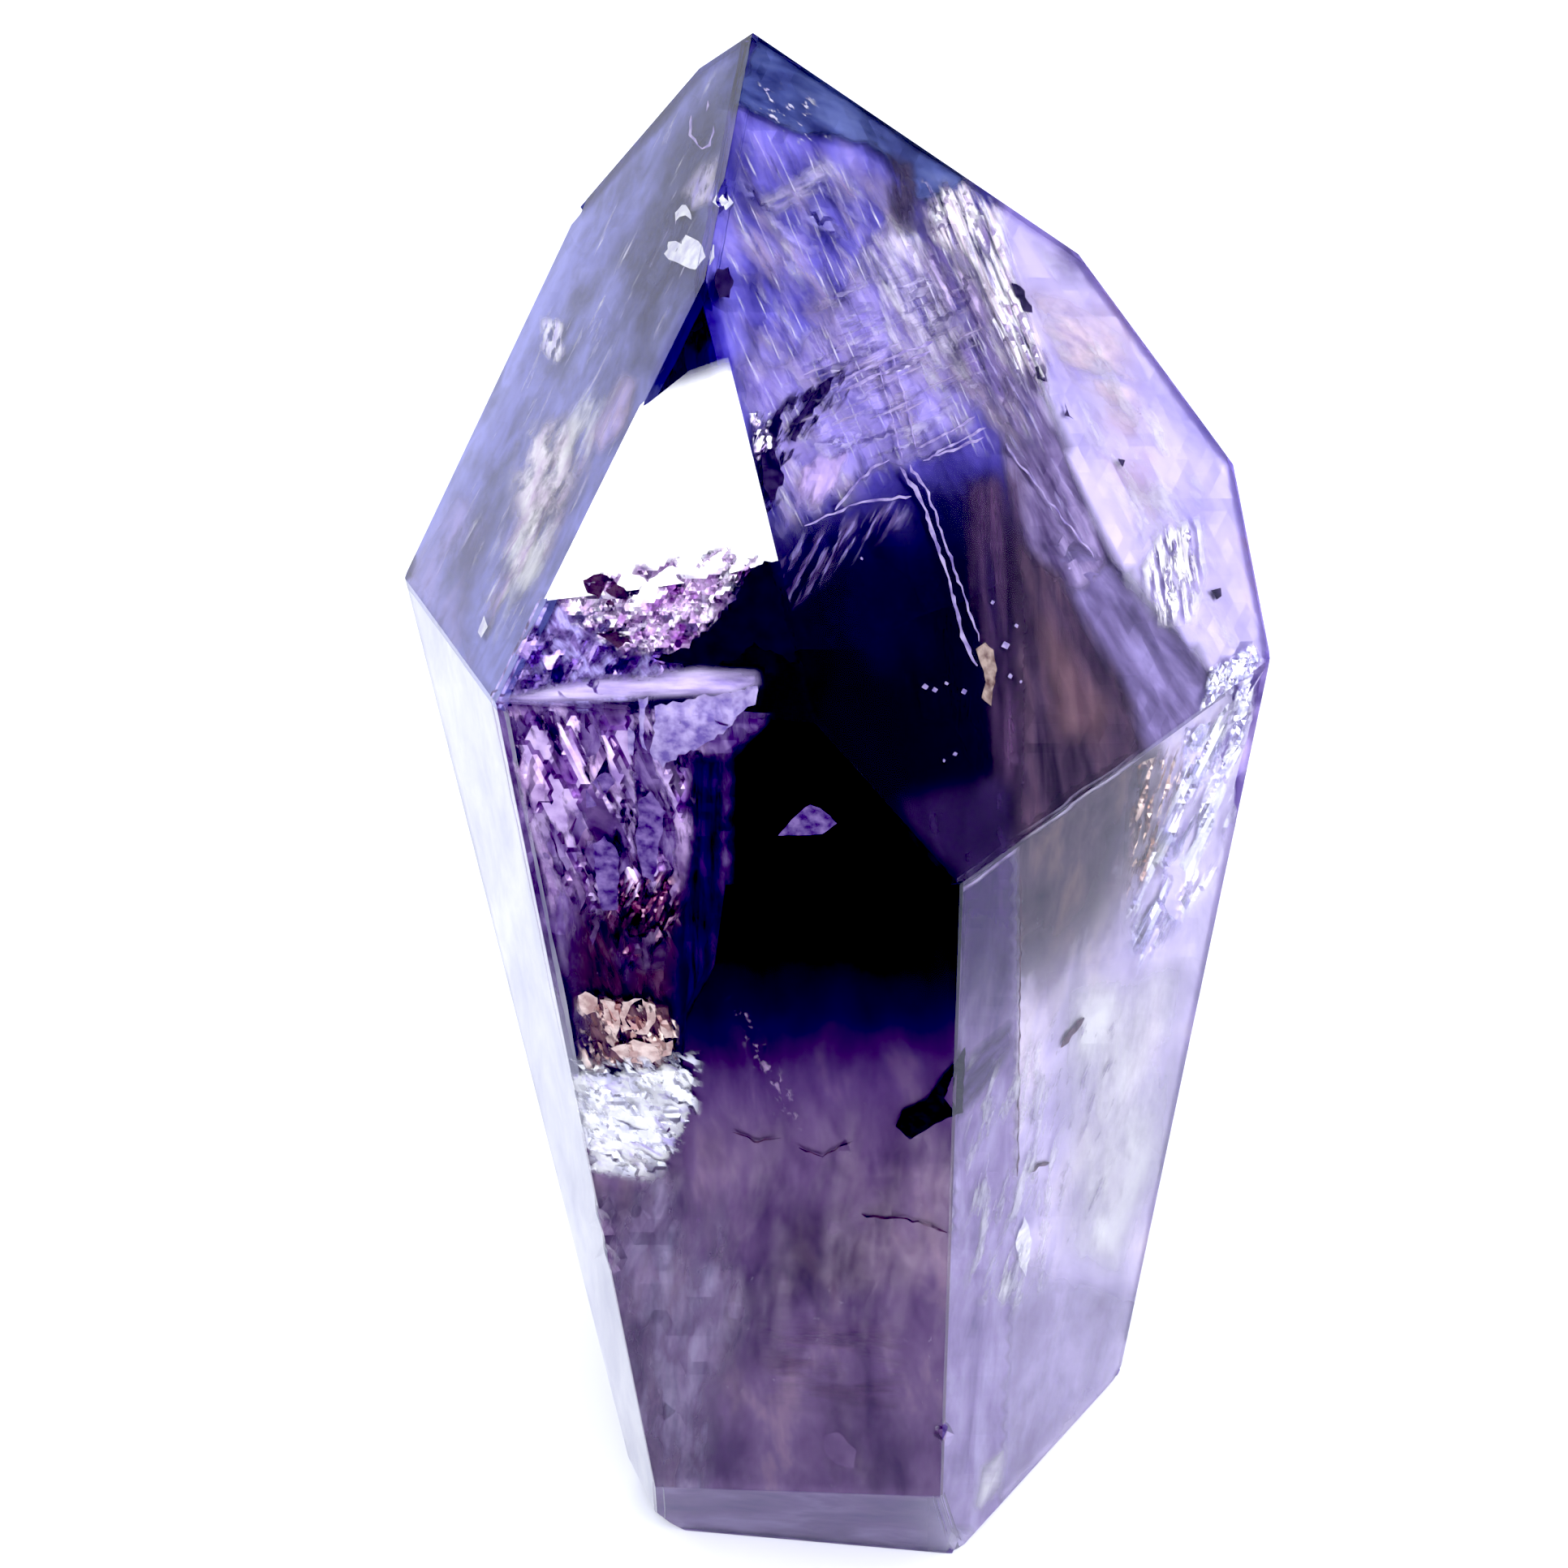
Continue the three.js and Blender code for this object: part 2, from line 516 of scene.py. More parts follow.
def add_node(nodes, kind, inputs=(), **settings):
    """A node with values for some of its inputs, by name or place."""
    node = nodes.new("ShaderNode" + kind)
    for setting, value in settings.items():
        setattr(node, setting, value)
    set_inputs(node, inputs)
    return node


def set_inputs(node, inputs):
    for key, value in dict(inputs).items():
        node.inputs[key].default_value = value


def new_material(name):
    material = bpy.data.materials.new(name)
    material.use_nodes = True
    nodes = material.node_tree.nodes
    return material, nodes, material.node_tree.links, nodes["Principled BSDF"]


def link_absorption(nodes, links, through, length):
    """Absorption that leaves the given share of each colour after a length in mm."""
    loss = [-math.log(max(share, 1e-4)) / (length * MM) for share in through]
    density = max(loss)
    color = [1 - one / density for one in loss] + [1]
    absorption = add_node(nodes, "VolumeAbsorption", {"Density": density, "Color": color})
    links.new(absorption.outputs[0], nodes["Material Output"].inputs["Volume"])


def ramped(nodes, links, value, stops):
    """A value turned into colours, by stops of position and colour."""
    ramp = add_node(nodes, "ValToRGB")
    elements = ramp.color_ramp.elements
    elements[0].position, elements[0].color = stops[0][0], (*stops[0][1], 1)
    elements[1].position, elements[1].color = stops[-1][0], (*stops[-1][1], 1)
    for position, color in stops[1:-1]:
        elements.new(position).color = (*color, 1)
    links.new(value, ramp.inputs["Fac"])
    return ramp.outputs["Color"]


def mottled(nodes, links, size, low, high):
    """Noise of a size in mm, in the object's own space, turned into a colour from low to high."""
    place = add_node(nodes, "TexCoord")
    texture = add_node(nodes, "TexNoise", {"Scale": 1 / (size * MM), "Detail": NOISE_DETAIL})
    links.new(place.outputs["Object"], texture.inputs["Vector"])
    return ramped(nodes, links, texture.outputs["Fac"], [(0.35, low), (0.65, high)])


def crystal_material():
    material, nodes, links, surface = new_material("polished_quartz")
    set_inputs(surface, {
        "Transmission Weight": 1, "Roughness": 0.0, "IOR": QUARTZ_IOR,
        "Specular Tint": (0.26, 0.26, 0.33, 1),
    })
    link_absorption(nodes, links, through=(0.80, 0.76, 0.92), length=40)
    return material


def zone_material(name, through, length):
    """A coloured zone of the quartz: it bends no light and only takes some away."""
    material, nodes, links, surface = new_material(name)
    set_inputs(surface, {"Transmission Weight": 1, "Roughness": 0.0, "IOR": 1.0})
    links.new(mottled(nodes, links, 4, (0.9, 0.88, 0.95), (1, 1, 1)), surface.inputs["Base Color"])
    link_absorption(nodes, links, through, length)
    return material


# Colour zones


def turn_outwards(mesh, within_faces=False):
    """Turns a closed mesh's faces outwards and, if asked, cuts it to stay within the crystal's faces."""
    shape = bmesh.new()
    shape.from_mesh(mesh)
    for normal, distance in FACES if within_faces else []:
        rim = cut_shape(shape, normal, distance - SKIN, is_end=True)
        if rim:
            bmesh.ops.holes_fill(shape, edges=rim, sides=0)
    bmesh.ops.recalc_face_normals(shape, faces=shape.faces)
    if shape.calc_volume(signed=True) < 0:
        bmesh.ops.reverse_faces(shape, faces=shape.faces)
    shape.to_mesh(mesh)
    shape.free()


def add_zone(name, facet, outline, near, thick, material, step=16, fades=(), feather=0, rough=0.0, seed=0):
    """A closed lens of coloured quartz behind an outline of the picture. It thins along its fades
    and, over the feather's width, towards its outline."""
    flat, triangles = meshed_outline(clipped(outline, facet), step)
    front = []
    back = []
    for x, y in flat:
        share = faded(x, y, fades)
        if feather:
            share *= smooth(edge_distance(x, y, outline) / feather)
        share *= 1 + rough * unevenness(x, y, ZONE_WAVE_SIZE, seed)
        depth = near + max(thick * share, LEAST_THICKNESS)
        entry, ahead = sight(facet, x, y)
        front.append(entry + ahead * near * MM)
        back.append(entry + ahead * depth * MM)
    piece = add_piece(name, front + back, closed_faces(triangles, len(flat)), material)
    turn_outwards(piece.data, within_faces=True)
    return piece


def add_core():
    dark = zone_material("core_quartz", through=(0.003, 0.001, 0.008), length=10)
    add_zone("core_front", "front",
             [(893, 925), (1005, 880), (1200, 1088), (1200, 1500), (893, 1480), (850, 1400), (845, 1250),
              (893, 1170)],
             near=0.9, thick=12, material=dark, fades=[((1000, 1500), (1000, 1060))], rough=0.25, seed=1)
    add_zone("core_tip_front", "tip_front",
             [(965, 680), (925, 700), (880, 755), (840, 815), (865, 890), (1015, 900)],
             near=0.9, thick=10, material=dark, rough=0.2, seed=2)
    add_zone("core_tip_right", "tip_right",
             [(940, 680), (965, 655), (1050, 600), (1130, 545), (1215, 500), (1290, 540), (1340, 680),
              (1410, 860), (1380, 980), (1262, 1070), (1184, 1110), (985, 889)],
             near=1.25, thick=9, material=dark, feather=84, rough=0.45, seed=3)


def add_tip_zones():
    navy = zone_material("navy_quartz", through=(0.06, 0.05, 0.3), length=3)
    slate = zone_material("slate_quartz", through=(0.17, 0.22, 0.46), length=3)
    violet = zone_material("violet_quartz", through=(0.20, 0.16, 0.66), length=5)
    add_zone("tip_navy", "tip_front", [(865, 335), (900, 455), (845, 478), (790, 506), (790, 485)],
             near=0.6, thick=3, material=navy, step=10, fades=[((850, 500), (862, 470))], seed=5)
    add_zone("tip_slate", "tip_right",
             [(931, 20), (1105, 130), (1210, 205), (1150, 260), (1105, 215), (1060, 185), (985, 172),
              (900, 130)],
             near=1.0, thick=3, material=slate, step=12, feather=14, rough=0.4, seed=6)
    add_zone("tip_violet", "tip_right",
             [(915, 130), (1010, 160), (1110, 215), (1200, 330), (1290, 560), (1350, 720), (1200, 660),
              (1130, 580), (1050, 640), (960, 690), (875, 345), (893, 245)],
             near=2.2, thick=4, material=violet, step=18, feather=40, rough=0.5, seed=7)


def add_right_zones():
    smoke = zone_material("smoky_quartz", through=(0.16, 0.13, 0.24), length=4)
    add_zone("right_smoke", "right",
             [(1160, 1090), (1440, 920), (1420, 1150), (1380, 1260), (1260, 1280), (1160, 1330)],
             near=1.9, thick=5, material=smoke, fades=[((1300, 1240), (1290, 1060))], rough=0.3, seed=8)


def add_front_zones():
    violet = zone_material("front_violet_quartz", through=(0.30, 0.18, 0.52), length=5)
    add_zone("front_violet", "front",
             [(612, 868), (1000, 892), (895, 925), (893, 1170), (850, 1260), (850, 1420), (735, 1440),
              (683, 1210)],
             near=1.6, thick=5, material=violet, rough=0.5, seed=11)


# Veils


def streaks(nodes, links, angle, length, width, distortion):
    """Noise drawn out along an angle of the picture. Length and width are in its pixels."""
    place = add_node(nodes, "UVMap", uv_map="UVMap")
    turn = add_node(nodes, "Mapping", vector_type="TEXTURE")
    turn.inputs["Rotation"].default_value = (0, 0, math.radians(angle))
    turn.inputs["Scale"].default_value = (length / UV_PIXELS, width / UV_PIXELS, 1)
    texture = add_node(nodes, "TexNoise", {
        "Scale": 1, "Detail": NOISE_DETAIL, "Distortion": distortion, "Roughness": 0.58,
    })
    links.new(place.outputs[0], turn.inputs["Vector"])
    links.new(turn.outputs[0], texture.inputs["Vector"])
    return texture.outputs["Fac"]


def multiplied(nodes, links, first, second):
    product = add_node(nodes, "Math", operation="MULTIPLY")
    for socket, value in zip(product.inputs, (first, second)):
        if isinstance(value, float):
            socket.default_value = value
        else:
            links.new(value, socket)
    return product.outputs[0]


def link_cover(nodes, links, surface, angle, size, gap, opacity, ragged=0.0):
    """Lets a sheet show where its streaks are strong and its cover is high. A ragged sheet breaks up
    into streaks where its cover falls."""
    body = streaks(nodes, links, angle, *size, distortion=0.15)
    cover = add_node(nodes, "Attribute", attribute_name="cover")
    if ragged:
        lowered = add_node(nodes, "Math", {1: ragged}, operation="MULTIPLY_ADD")
        links.new(cover.outputs["Fac"], lowered.inputs[0])
        links.new(body, lowered.inputs[2])
        body = lowered.outputs[0]
    shares = [(gap[0] + ragged, (0, 0, 0)), (gap[1] + ragged, (1, 1, 1))]
    open_part = ramped(nodes, links, body, shares)
    shown = multiplied(nodes, links, open_part, cover.outputs["Fac"])
    links.new(multiplied(nodes, links, shown, float(opacity)), surface.inputs["Alpha"])


VEIL_ROUGHNESS = 0.45
# The least depth of a sheet under its facet and the least thickness of a zone, in mm.
LEAST_DEPTH = 0.15
LEAST_THICKNESS = 0.04
# How a dimmed veil's tones darken as its cover falls.
DIMMING = [
    (0.0, (0, 0, 0.015)),
    (0.32, (0.12, 0.11, 0.18)),
    (0.55, (0.33, 0.30, 0.45)),
    (0.77, (0.66, 0.60, 0.77)),
    (1.0, (1, 1, 1)),
]


def veil_material(name, tones, angle, size, opacity, gap, ragged, dimmed):
    """A milky veil: streaks of some tones, open where the streaks' noise is low. A dimmed veil gets
    dark where its cover falls, instead of clear."""
    material, nodes, links, surface = new_material(name)
    set_inputs(surface, {"Metallic": 1.0, "Roughness": VEIL_ROUGHNESS})
    tone = streaks(nodes, links, angle, size[0] * 0.8, size[1] * 0.8, distortion=0.3)
    stops = [(0.33 + 0.34 * i / (len(tones) - 1), color) for i, color in enumerate(tones)]
    color = ramped(nodes, links, tone, stops)
    if dimmed:
        cover = add_node(nodes, "Attribute", attribute_name="cover")
        product = add_node(nodes, "VectorMath", operation="MULTIPLY")
        links.new(color, product.inputs[0])
        links.new(ramped(nodes, links, cover.outputs["Fac"], DIMMING), product.inputs[1])
        links.new(product.outputs[0], surface.inputs["Base Color"])
        return material
    links.new(color, surface.inputs["Base Color"])
    link_cover(nodes, links, surface, angle, size, gap, opacity, ragged)
    return material


def add_sheet(name, facet, flat, triangles, outline, depth_at, material, fades, feather):
    """A sheet at its depths in mm, thinned along its fades and towards its outline."""
    depths = [max(depth_at(x, y), LEAST_DEPTH) for x, y in flat]
    cover = []
    for x, y in flat:
        share = faded(x, y, fades)
        if feather:
            share *= smooth(edge_distance(x, y, outline) / feather)
        cover.append(share)
    points, faces, pictures, cover = laid(facet, flat, triangles, depths, cover)
    uvs = [(x / UV_PIXELS, y / UV_PIXELS) for x, y in pictures]
    return add_piece(name, points, faces, material, uvs, cover)


# How wide a veil's waves are and a zone's unevenness is, in pixels.
WAVE_SIZE = 90
ZONE_WAVE_SIZE = 60
# How much of the given depths the sheets behind a facet keep.
DEPTH_SHARES = {"tip_left": 0.6, "tip_right": 0.6, "right": 0.6}


def add_veil(name, facet, depth, outline, tones, angle, size, opacity=0.9, gap=(0.1, 0.4), step=16,
             fades=(), feather=30, wave=0.3, ragged=0.0, dimmed=False, seed=0):
    """A milky sheet at a depth in mm that waves by about the given mm. It thins along its fades and,
    over the feather's width in pixels, towards its outline."""
    material = veil_material(name, tones, angle, size, opacity, gap, ragged, dimmed)
    flat, triangles = meshed_outline(clipped(outline, facet), step)

    def depth_at(x, y):
        return (depth + wave * unevenness(x, y, WAVE_SIZE, seed)) * DEPTH_SHARES.get(facet, 1)

    return add_sheet(name, facet, flat, triangles, outline, depth_at, material, fades, feather)


# Fractures: crumpled sheets of flat flakes


def foil_material(name, dark, light, roughness, angle, size, gap, opacity):
    """A fracture plane: a thin gap in the quartz that mirrors what is round it."""
    material, nodes, links, surface = new_material(name)
    set_inputs(surface, {"Metallic": 1.0, "Roughness": roughness})
    links.new(mottled(nodes, links, 1.2, dark, light), surface.inputs["Base Color"])
    link_cover(nodes, links, surface, angle, size, gap, opacity)
    return material


def flake_heights(flat, flake, angle, slope, relief, seed):
    """Heights in mm of flat flakes with their own slopes and steps between them."""
    cosine = math.cos(math.radians(angle))
    sine = math.sin(math.radians(angle))
    heights = []
    for x, y in flat:
        along = (x * cosine + y * sine) / flake[0]
        across = (y * cosine - x * sine) / flake[1]
        bend = noise.noise_vector(Vector((along * 0.9, across * 0.9, seed)))
        place = Vector((along + bend.x * 0.5, across + bend.y * 0.5, seed * 7.3))
        cell = noise.voronoi(place)[1][0]
        numbers = random.Random(round(cell.x * 1e4) * 7919 + round(cell.y * 1e4))
        off_along = (place.x - cell.x) * flake[0] * PIXEL
        off_across = (place.y - cell.y) * flake[1] * PIXEL
        tilt = numbers.uniform(-slope, slope) * off_along + numbers.uniform(-slope, slope) * off_across
        heights.append(tilt + numbers.uniform(-relief, relief))
    return heights


def add_fracture(name, facet, depth, outline, dark, light, flake, angle, slope=0.5, relief=0.15,
                 roughness=0.2, step=6, gap=(0.2, 0.35), opacity=1.0, feather=6, seed=0):
    """A crumpled fracture plane of flat flakes that flash where they face the light."""
    material = foil_material(name, dark, light, roughness, angle, flake, gap, opacity)
    flat, triangles = meshed_outline(clipped(outline, facet), step)
    heights = dict(zip(flat, flake_heights(flat, flake, angle, slope, relief, seed)))

    def depth_at(x, y):
        return depth * DEPTH_SHARES.get(facet, 1) + heights[(x, y)]

    return add_sheet(name, facet, flat, triangles, outline, depth_at, material, (), feather)


# Flakes and threads

# Thicknesses in mm, and steps in pixels along their outlines. Flakes have no points inside.
FLAKE_THICKNESS = 0.08
THREAD_THICKNESS = 0.05
JAG_STEP = 7
FLAKE_STEP = 200
THREAD_STEP = 8


def add_flake(points, faces, facet, flat, triangles, depth, thickness):
    """Adds a closed flat piece: its picture points at a depth in mm, and again a little deeper."""
    base = len(points)
    points += [under(facet, x, y, depth) for x, y in flat]
    points += [under(facet, x, y, depth + thickness) for x, y in flat]
    faces += [tuple(i + base for i in face) for face in closed_faces(triangles, len(flat))]


def roughened(outline, jag, numbers):
    """An outline with small steps and notches along its sides."""
    rough = []
    for i, start in enumerate(outline):
        for x, y in divided(start, outline[(i + 1) % len(outline)], JAG_STEP):
            across = x + numbers.uniform(-jag, jag)
            down = y + numbers.uniform(-jag, jag)
            rough.append((across, down))
    return rough


def add_drawn(name, facet, outlines, depth, material, jag, seed):
    """Flat flakes with the given outlines, at a depth in mm."""
    numbers = random.Random(seed)
    points = []
    faces = []
    for outline in outlines:
        flat, triangles = meshed_outline(roughened(outline, jag, numbers), FLAKE_STEP)
        add_flake(points, faces, facet, flat, triangles, depth, FLAKE_THICKNESS)
    piece = add_piece(name, points, faces, material)
    turn_outwards(piece.data)
    return piece


def ribbon(line, width, wobble, numbers):
    """Points in pairs on both sides of a line of the picture, and the triangles between them."""
    path = [point for start, end in zip(line, line[1:]) for point in divided(start, end, THREAD_STEP)]
    path.append(line[-1])
    last = len(path) - 1
    flat = []
    triangles = []
    for k, (x, y) in enumerate(path):
        next_x, next_y = path[min(k + 1, last)]
        past_x, past_y = path[max(k - 1, 0)]
        along = math.hypot(next_x - past_x, next_y - past_y)
        side_x, side_y = -(next_y - past_y) / along, (next_x - past_x) / along
        x += numbers.uniform(-wobble, wobble)
        y += numbers.uniform(-wobble, wobble)
        half = width / 2 * numbers.uniform(0.45, 1.25) * min(1, 0.3 + k, 0.3 + last - k)
        flat.append((x + side_x * half, y + side_y * half))
        flat.append((x - side_x * half, y - side_y * half))
        if k < last:
            triangles += [(2 * k, 2 * k + 1, 2 * k + 2), (2 * k + 1, 2 * k + 3, 2 * k + 2)]
    return flat, triangles


def add_threads(name, facet, lines, depth, material, wobble=1.2, seed=0):
    """Thin ribbons along lines of the picture. Each line is its width in pixels and its points."""
    numbers = random.Random(seed)
    points = []
    faces = []
    for width, line in lines:
        flat, triangles = ribbon(line, width, wobble, numbers)
        add_flake(points, faces, facet, flat, triangles, depth, THREAD_THICKNESS)
    piece = add_piece(name, points, faces, material)
    turn_outwards(piece.data)
    return piece


def shard_material(name, dark, light):
    material, nodes, links, surface = new_material(name)
    set_inputs(surface, {"Roughness": 0.9, "Specular IOR Level": 0.0})
    links.new(mottled(nodes, links, 0.6, dark, light), surface.inputs["Base Color"])
    return material


SHARDS = {
    "white": shard_material("shard_white", (0.70, 0.68, 0.85), (1.0, 1.0, 1.0)),
    "lilac": shard_material("shard_lilac", (0.24, 0.18, 0.5), (0.62, 0.52, 0.85)),
    "violet": shard_material("shard_violet", (0.08, 0.045, 0.2), (0.34, 0.24, 0.55)),
    "mauve": shard_material("shard_mauve", (0.03, 0.012, 0.04), (0.12, 0.06, 0.10)),
    "cream": shard_material("shard_cream", (0.55, 0.36, 0.34), (1.0, 0.84, 0.80)),
    "tan": shard_material("shard_tan", (0.16, 0.09, 0.08), (0.6, 0.46, 0.40)),
    "dusk": shard_material("shard_dusk", (0.01, 0.006, 0.03), (0.06, 0.04, 0.12)),
    "ink": shard_material("shard_ink", (0.001, 0.0005, 0.004), (0.008, 0.004, 0.02)),
}


# Tones, as linear colours

WHITE = (1.0, 1.0, 1.0)
MILK = (0.66, 0.61, 0.74)
ROSE_MILK = (0.59, 0.46, 0.66)
LILAC = (0.56, 0.49, 0.82)
LAVENDER = (0.44, 0.38, 0.78)
PERIWINKLE = (0.165, 0.14, 0.56)
VIOLET = (0.18, 0.12, 0.32)
DEEP_VIOLET = (0.04, 0.025, 0.10)
MAUVE = (0.19, 0.14, 0.38)
SLATE = (0.08, 0.09, 0.20)
BLUE_GREY = (0.14, 0.15, 0.36)
PALE_BLUE = (0.26, 0.27, 0.66)
DUSK = (0.025, 0.014, 0.045)
HAZE = (0.21, 0.135, 0.25)
ROSY_HAZE = (0.34, 0.235, 0.34)
GREY = (0.46, 0.40, 0.58)
PALE_GREY = (0.46, 0.43, 0.60)
BROWN = (0.10, 0.05, 0.075)
TAN = (0.30, 0.17, 0.14)
INK = (0.003, 0.002, 0.012)


def behind(facet, add):
    """A way to add one kind of piece behind a facet, with names that begin with the facet's."""
    return lambda name, *given, **named: add(f"{facet}_{name}", facet, *given, **named)


def add_left_tip():
    veil = behind("tip_left", add_veil)
    drawn = behind("tip_left", add_drawn)
    threads = behind("tip_left", add_threads)
    veil("haze", 2.0, [(960, 20), (871, 380), (600, 900), (470, 716), (690, 200), (850, 50)],
         [BLUE_GREY, PALE_BLUE, BLUE_GREY], 115, (160, 40), opacity=0.95, gap=(-0.2, 0.2), feather=0)
    veil("shade", 1.7,
         [(960, 30), (895, 250), (880, 350), (800, 480), (760, 470), (740, 300), (800, 180), (860, 90)],
         [(0.075, 0.08, 0.24), (0.05, 0.05, 0.17), BLUE_GREY], 112, (100, 36), opacity=0.85,
         gap=(0.3, 0.55), feather=50)
    veil("milk", 1.4,
         [(800, 430), (800, 500), (740, 620), (700, 720), (620, 820), (550, 810), (570, 680), (640, 510),
          (720, 430)],
         [LAVENDER, ROSE_MILK, WHITE, WHITE], 116, (130, 24), opacity=1.0, gap=(0.34, 0.56), feather=70,
         step=12, ragged=0.3)
    veil("pale_edge", 1.3, [(480, 730), (560, 580), (615, 640), (580, 760), (612, 900), (520, 790)],
         [PALE_BLUE, LAVENDER], 115, (80, 26), opacity=0.8, gap=(0.2, 0.5), feather=30, step=12)
    veil("streak", 1.0, [(765, 452), (790, 466), (774, 530), (735, 570), (726, 530)],
         [LAVENDER, ROSE_MILK], 116, (70, 16), opacity=0.9, gap=(0.2, 0.4), feather=14, step=8)
    veil("lilac", 1.0, [(890, 180), (884, 250), (845, 266), (836, 235), (860, 200)],
         [LAVENDER, MILK], 105, (50, 14), opacity=0.9, gap=(0.35, 0.5), feather=12, step=8)
    veil("fibres", 0.9, [(930, 60), (880, 340), (640, 800), (520, 720), (720, 260), (850, 100)],
         [LAVENDER, WHITE], 116, (90, 7), opacity=0.6, gap=(0.6, 0.7), feather=20)
    veil("dark_fibres", 1.1, [(930, 60), (880, 340), (640, 800), (520, 720), (720, 260), (850, 100)],
         [(0.09, 0.09, 0.28), BLUE_GREY], 113, (90, 30), opacity=0.55, gap=(0.5, 0.66), feather=20)
    veil("feather", 0.8, [(664, 388), (696, 392), (698, 436), (684, 456), (664, 430)],
         [LILAC, WHITE], 100, (26, 8), opacity=1.0, gap=(0.42, 0.5), feather=8, step=6)
    veil("low_feather", 0.8, [(640, 520), (712, 500), (716, 600), (680, 690), (640, 690), (620, 600)],
         [ROSE_MILK, WHITE], 116, (60, 20), opacity=0.95, gap=(0.4, 0.56), feather=26, step=8)
    drawn("glints",
          [[(824, 296), (838, 300), (846, 290), (862, 296), (868, 318), (856, 334), (836, 326),
            (820, 314)],
           [(832, 262), (842, 251), (850, 258), (852, 272), (844, 266), (834, 272)],
           [(884, 236), (893, 248), (888, 256), (878, 250)],
           [(590, 772), (598, 757), (600, 772), (592, 792)]],
          0.5, SHARDS["white"], jag=2.2, seed=25)
    # Thin matte lilac ribbons painted as glints: a curved painted highlight and two short ones.
    threads("threads",
            [(3, [(851, 143), (850, 166), (864, 184), (874, 178), (880, 156)]),
             (2.5, [(872, 124), (871, 136)]),
             (2, [(835, 262), (832, 276)])],
            0.5, SHARDS["lilac"], seed=26)


def add_front_tip():
    veil = behind("tip_front", add_veil)
    fracture = behind("tip_front", add_fracture)
    drawn = behind("tip_front", add_drawn)
    veil("glare", 0.6,
         [(780, 508), (800, 496), (850, 456), (896, 440), (960, 690), (925, 700), (860, 716), (760, 730),
          (655, 742), (730, 610)],
         [WHITE, WHITE], 20, (80, 60), opacity=1.0, gap=(-0.3, 0.0), step=8,
         fades=[((838, 452), (852, 492))], feather=0, wave=0.05)
    veil("dusk", 1.6,
         [(660, 742), (760, 724), (870, 700), (960, 690), (900, 760), (850, 812), (800, 862), (640, 880),
          (590, 872)],
         [DEEP_VIOLET, VIOLET, LAVENDER, VIOLET], 60, (50, 22), opacity=1.0, gap=(-0.2, 0.1), step=10,
         feather=5, wave=0.2)
    fracture("fracture", 0.7,
             [(676, 726), (720, 706), (790, 690), (900, 668), (952, 686), (905, 740), (850, 806),
              (770, 812), (700, 770)],
             (0.55, 0.36, 0.62), WHITE, (34, 14), -28, slope=0.75, relief=0.2, step=5, gap=(0.3, 0.4),
             feather=10, seed=6)
    fracture("low_fracture", 0.8, [(640, 760), (760, 790), (850, 806), (820, 850), (760, 860), (620, 862)],
             (0.14, 0.08, 0.3), (0.55, 0.4, 0.8), (36, 16), -50, slope=0.6, relief=0.2, step=6,
             gap=(0.42, 0.52), feather=10, seed=7)
    drawn("dark_flakes",
          [[(718, 716), (740, 706), (768, 722), (775, 742), (752, 744), (726, 732)],
           [(735, 780), (758, 778), (778, 790), (760, 797)]],
          0.5, SHARDS["mauve"], jag=2.5, seed=30)
    drawn("dark_edge",
          [[(806, 812), (850, 796), (905, 738), (930, 694), (949, 692), (985, 820), (945, 800), (930, 792),
            (905, 812), (870, 822)]],
          0.45, SHARDS["ink"], jag=3.0, seed=31)
    veil("band", 0.35,
         [(600, 858), (720, 832), (860, 818), (938, 824), (942, 846), (900, 862), (780, 866), (604, 874)],
         [(0.26, 0.2, 0.46), (0.44, 0.36, 0.62), (0.62, 0.54, 0.78)], 0, (150, 24), opacity=0.95,
         gap=(0.2, 0.5), step=6, feather=16, wave=0.05)


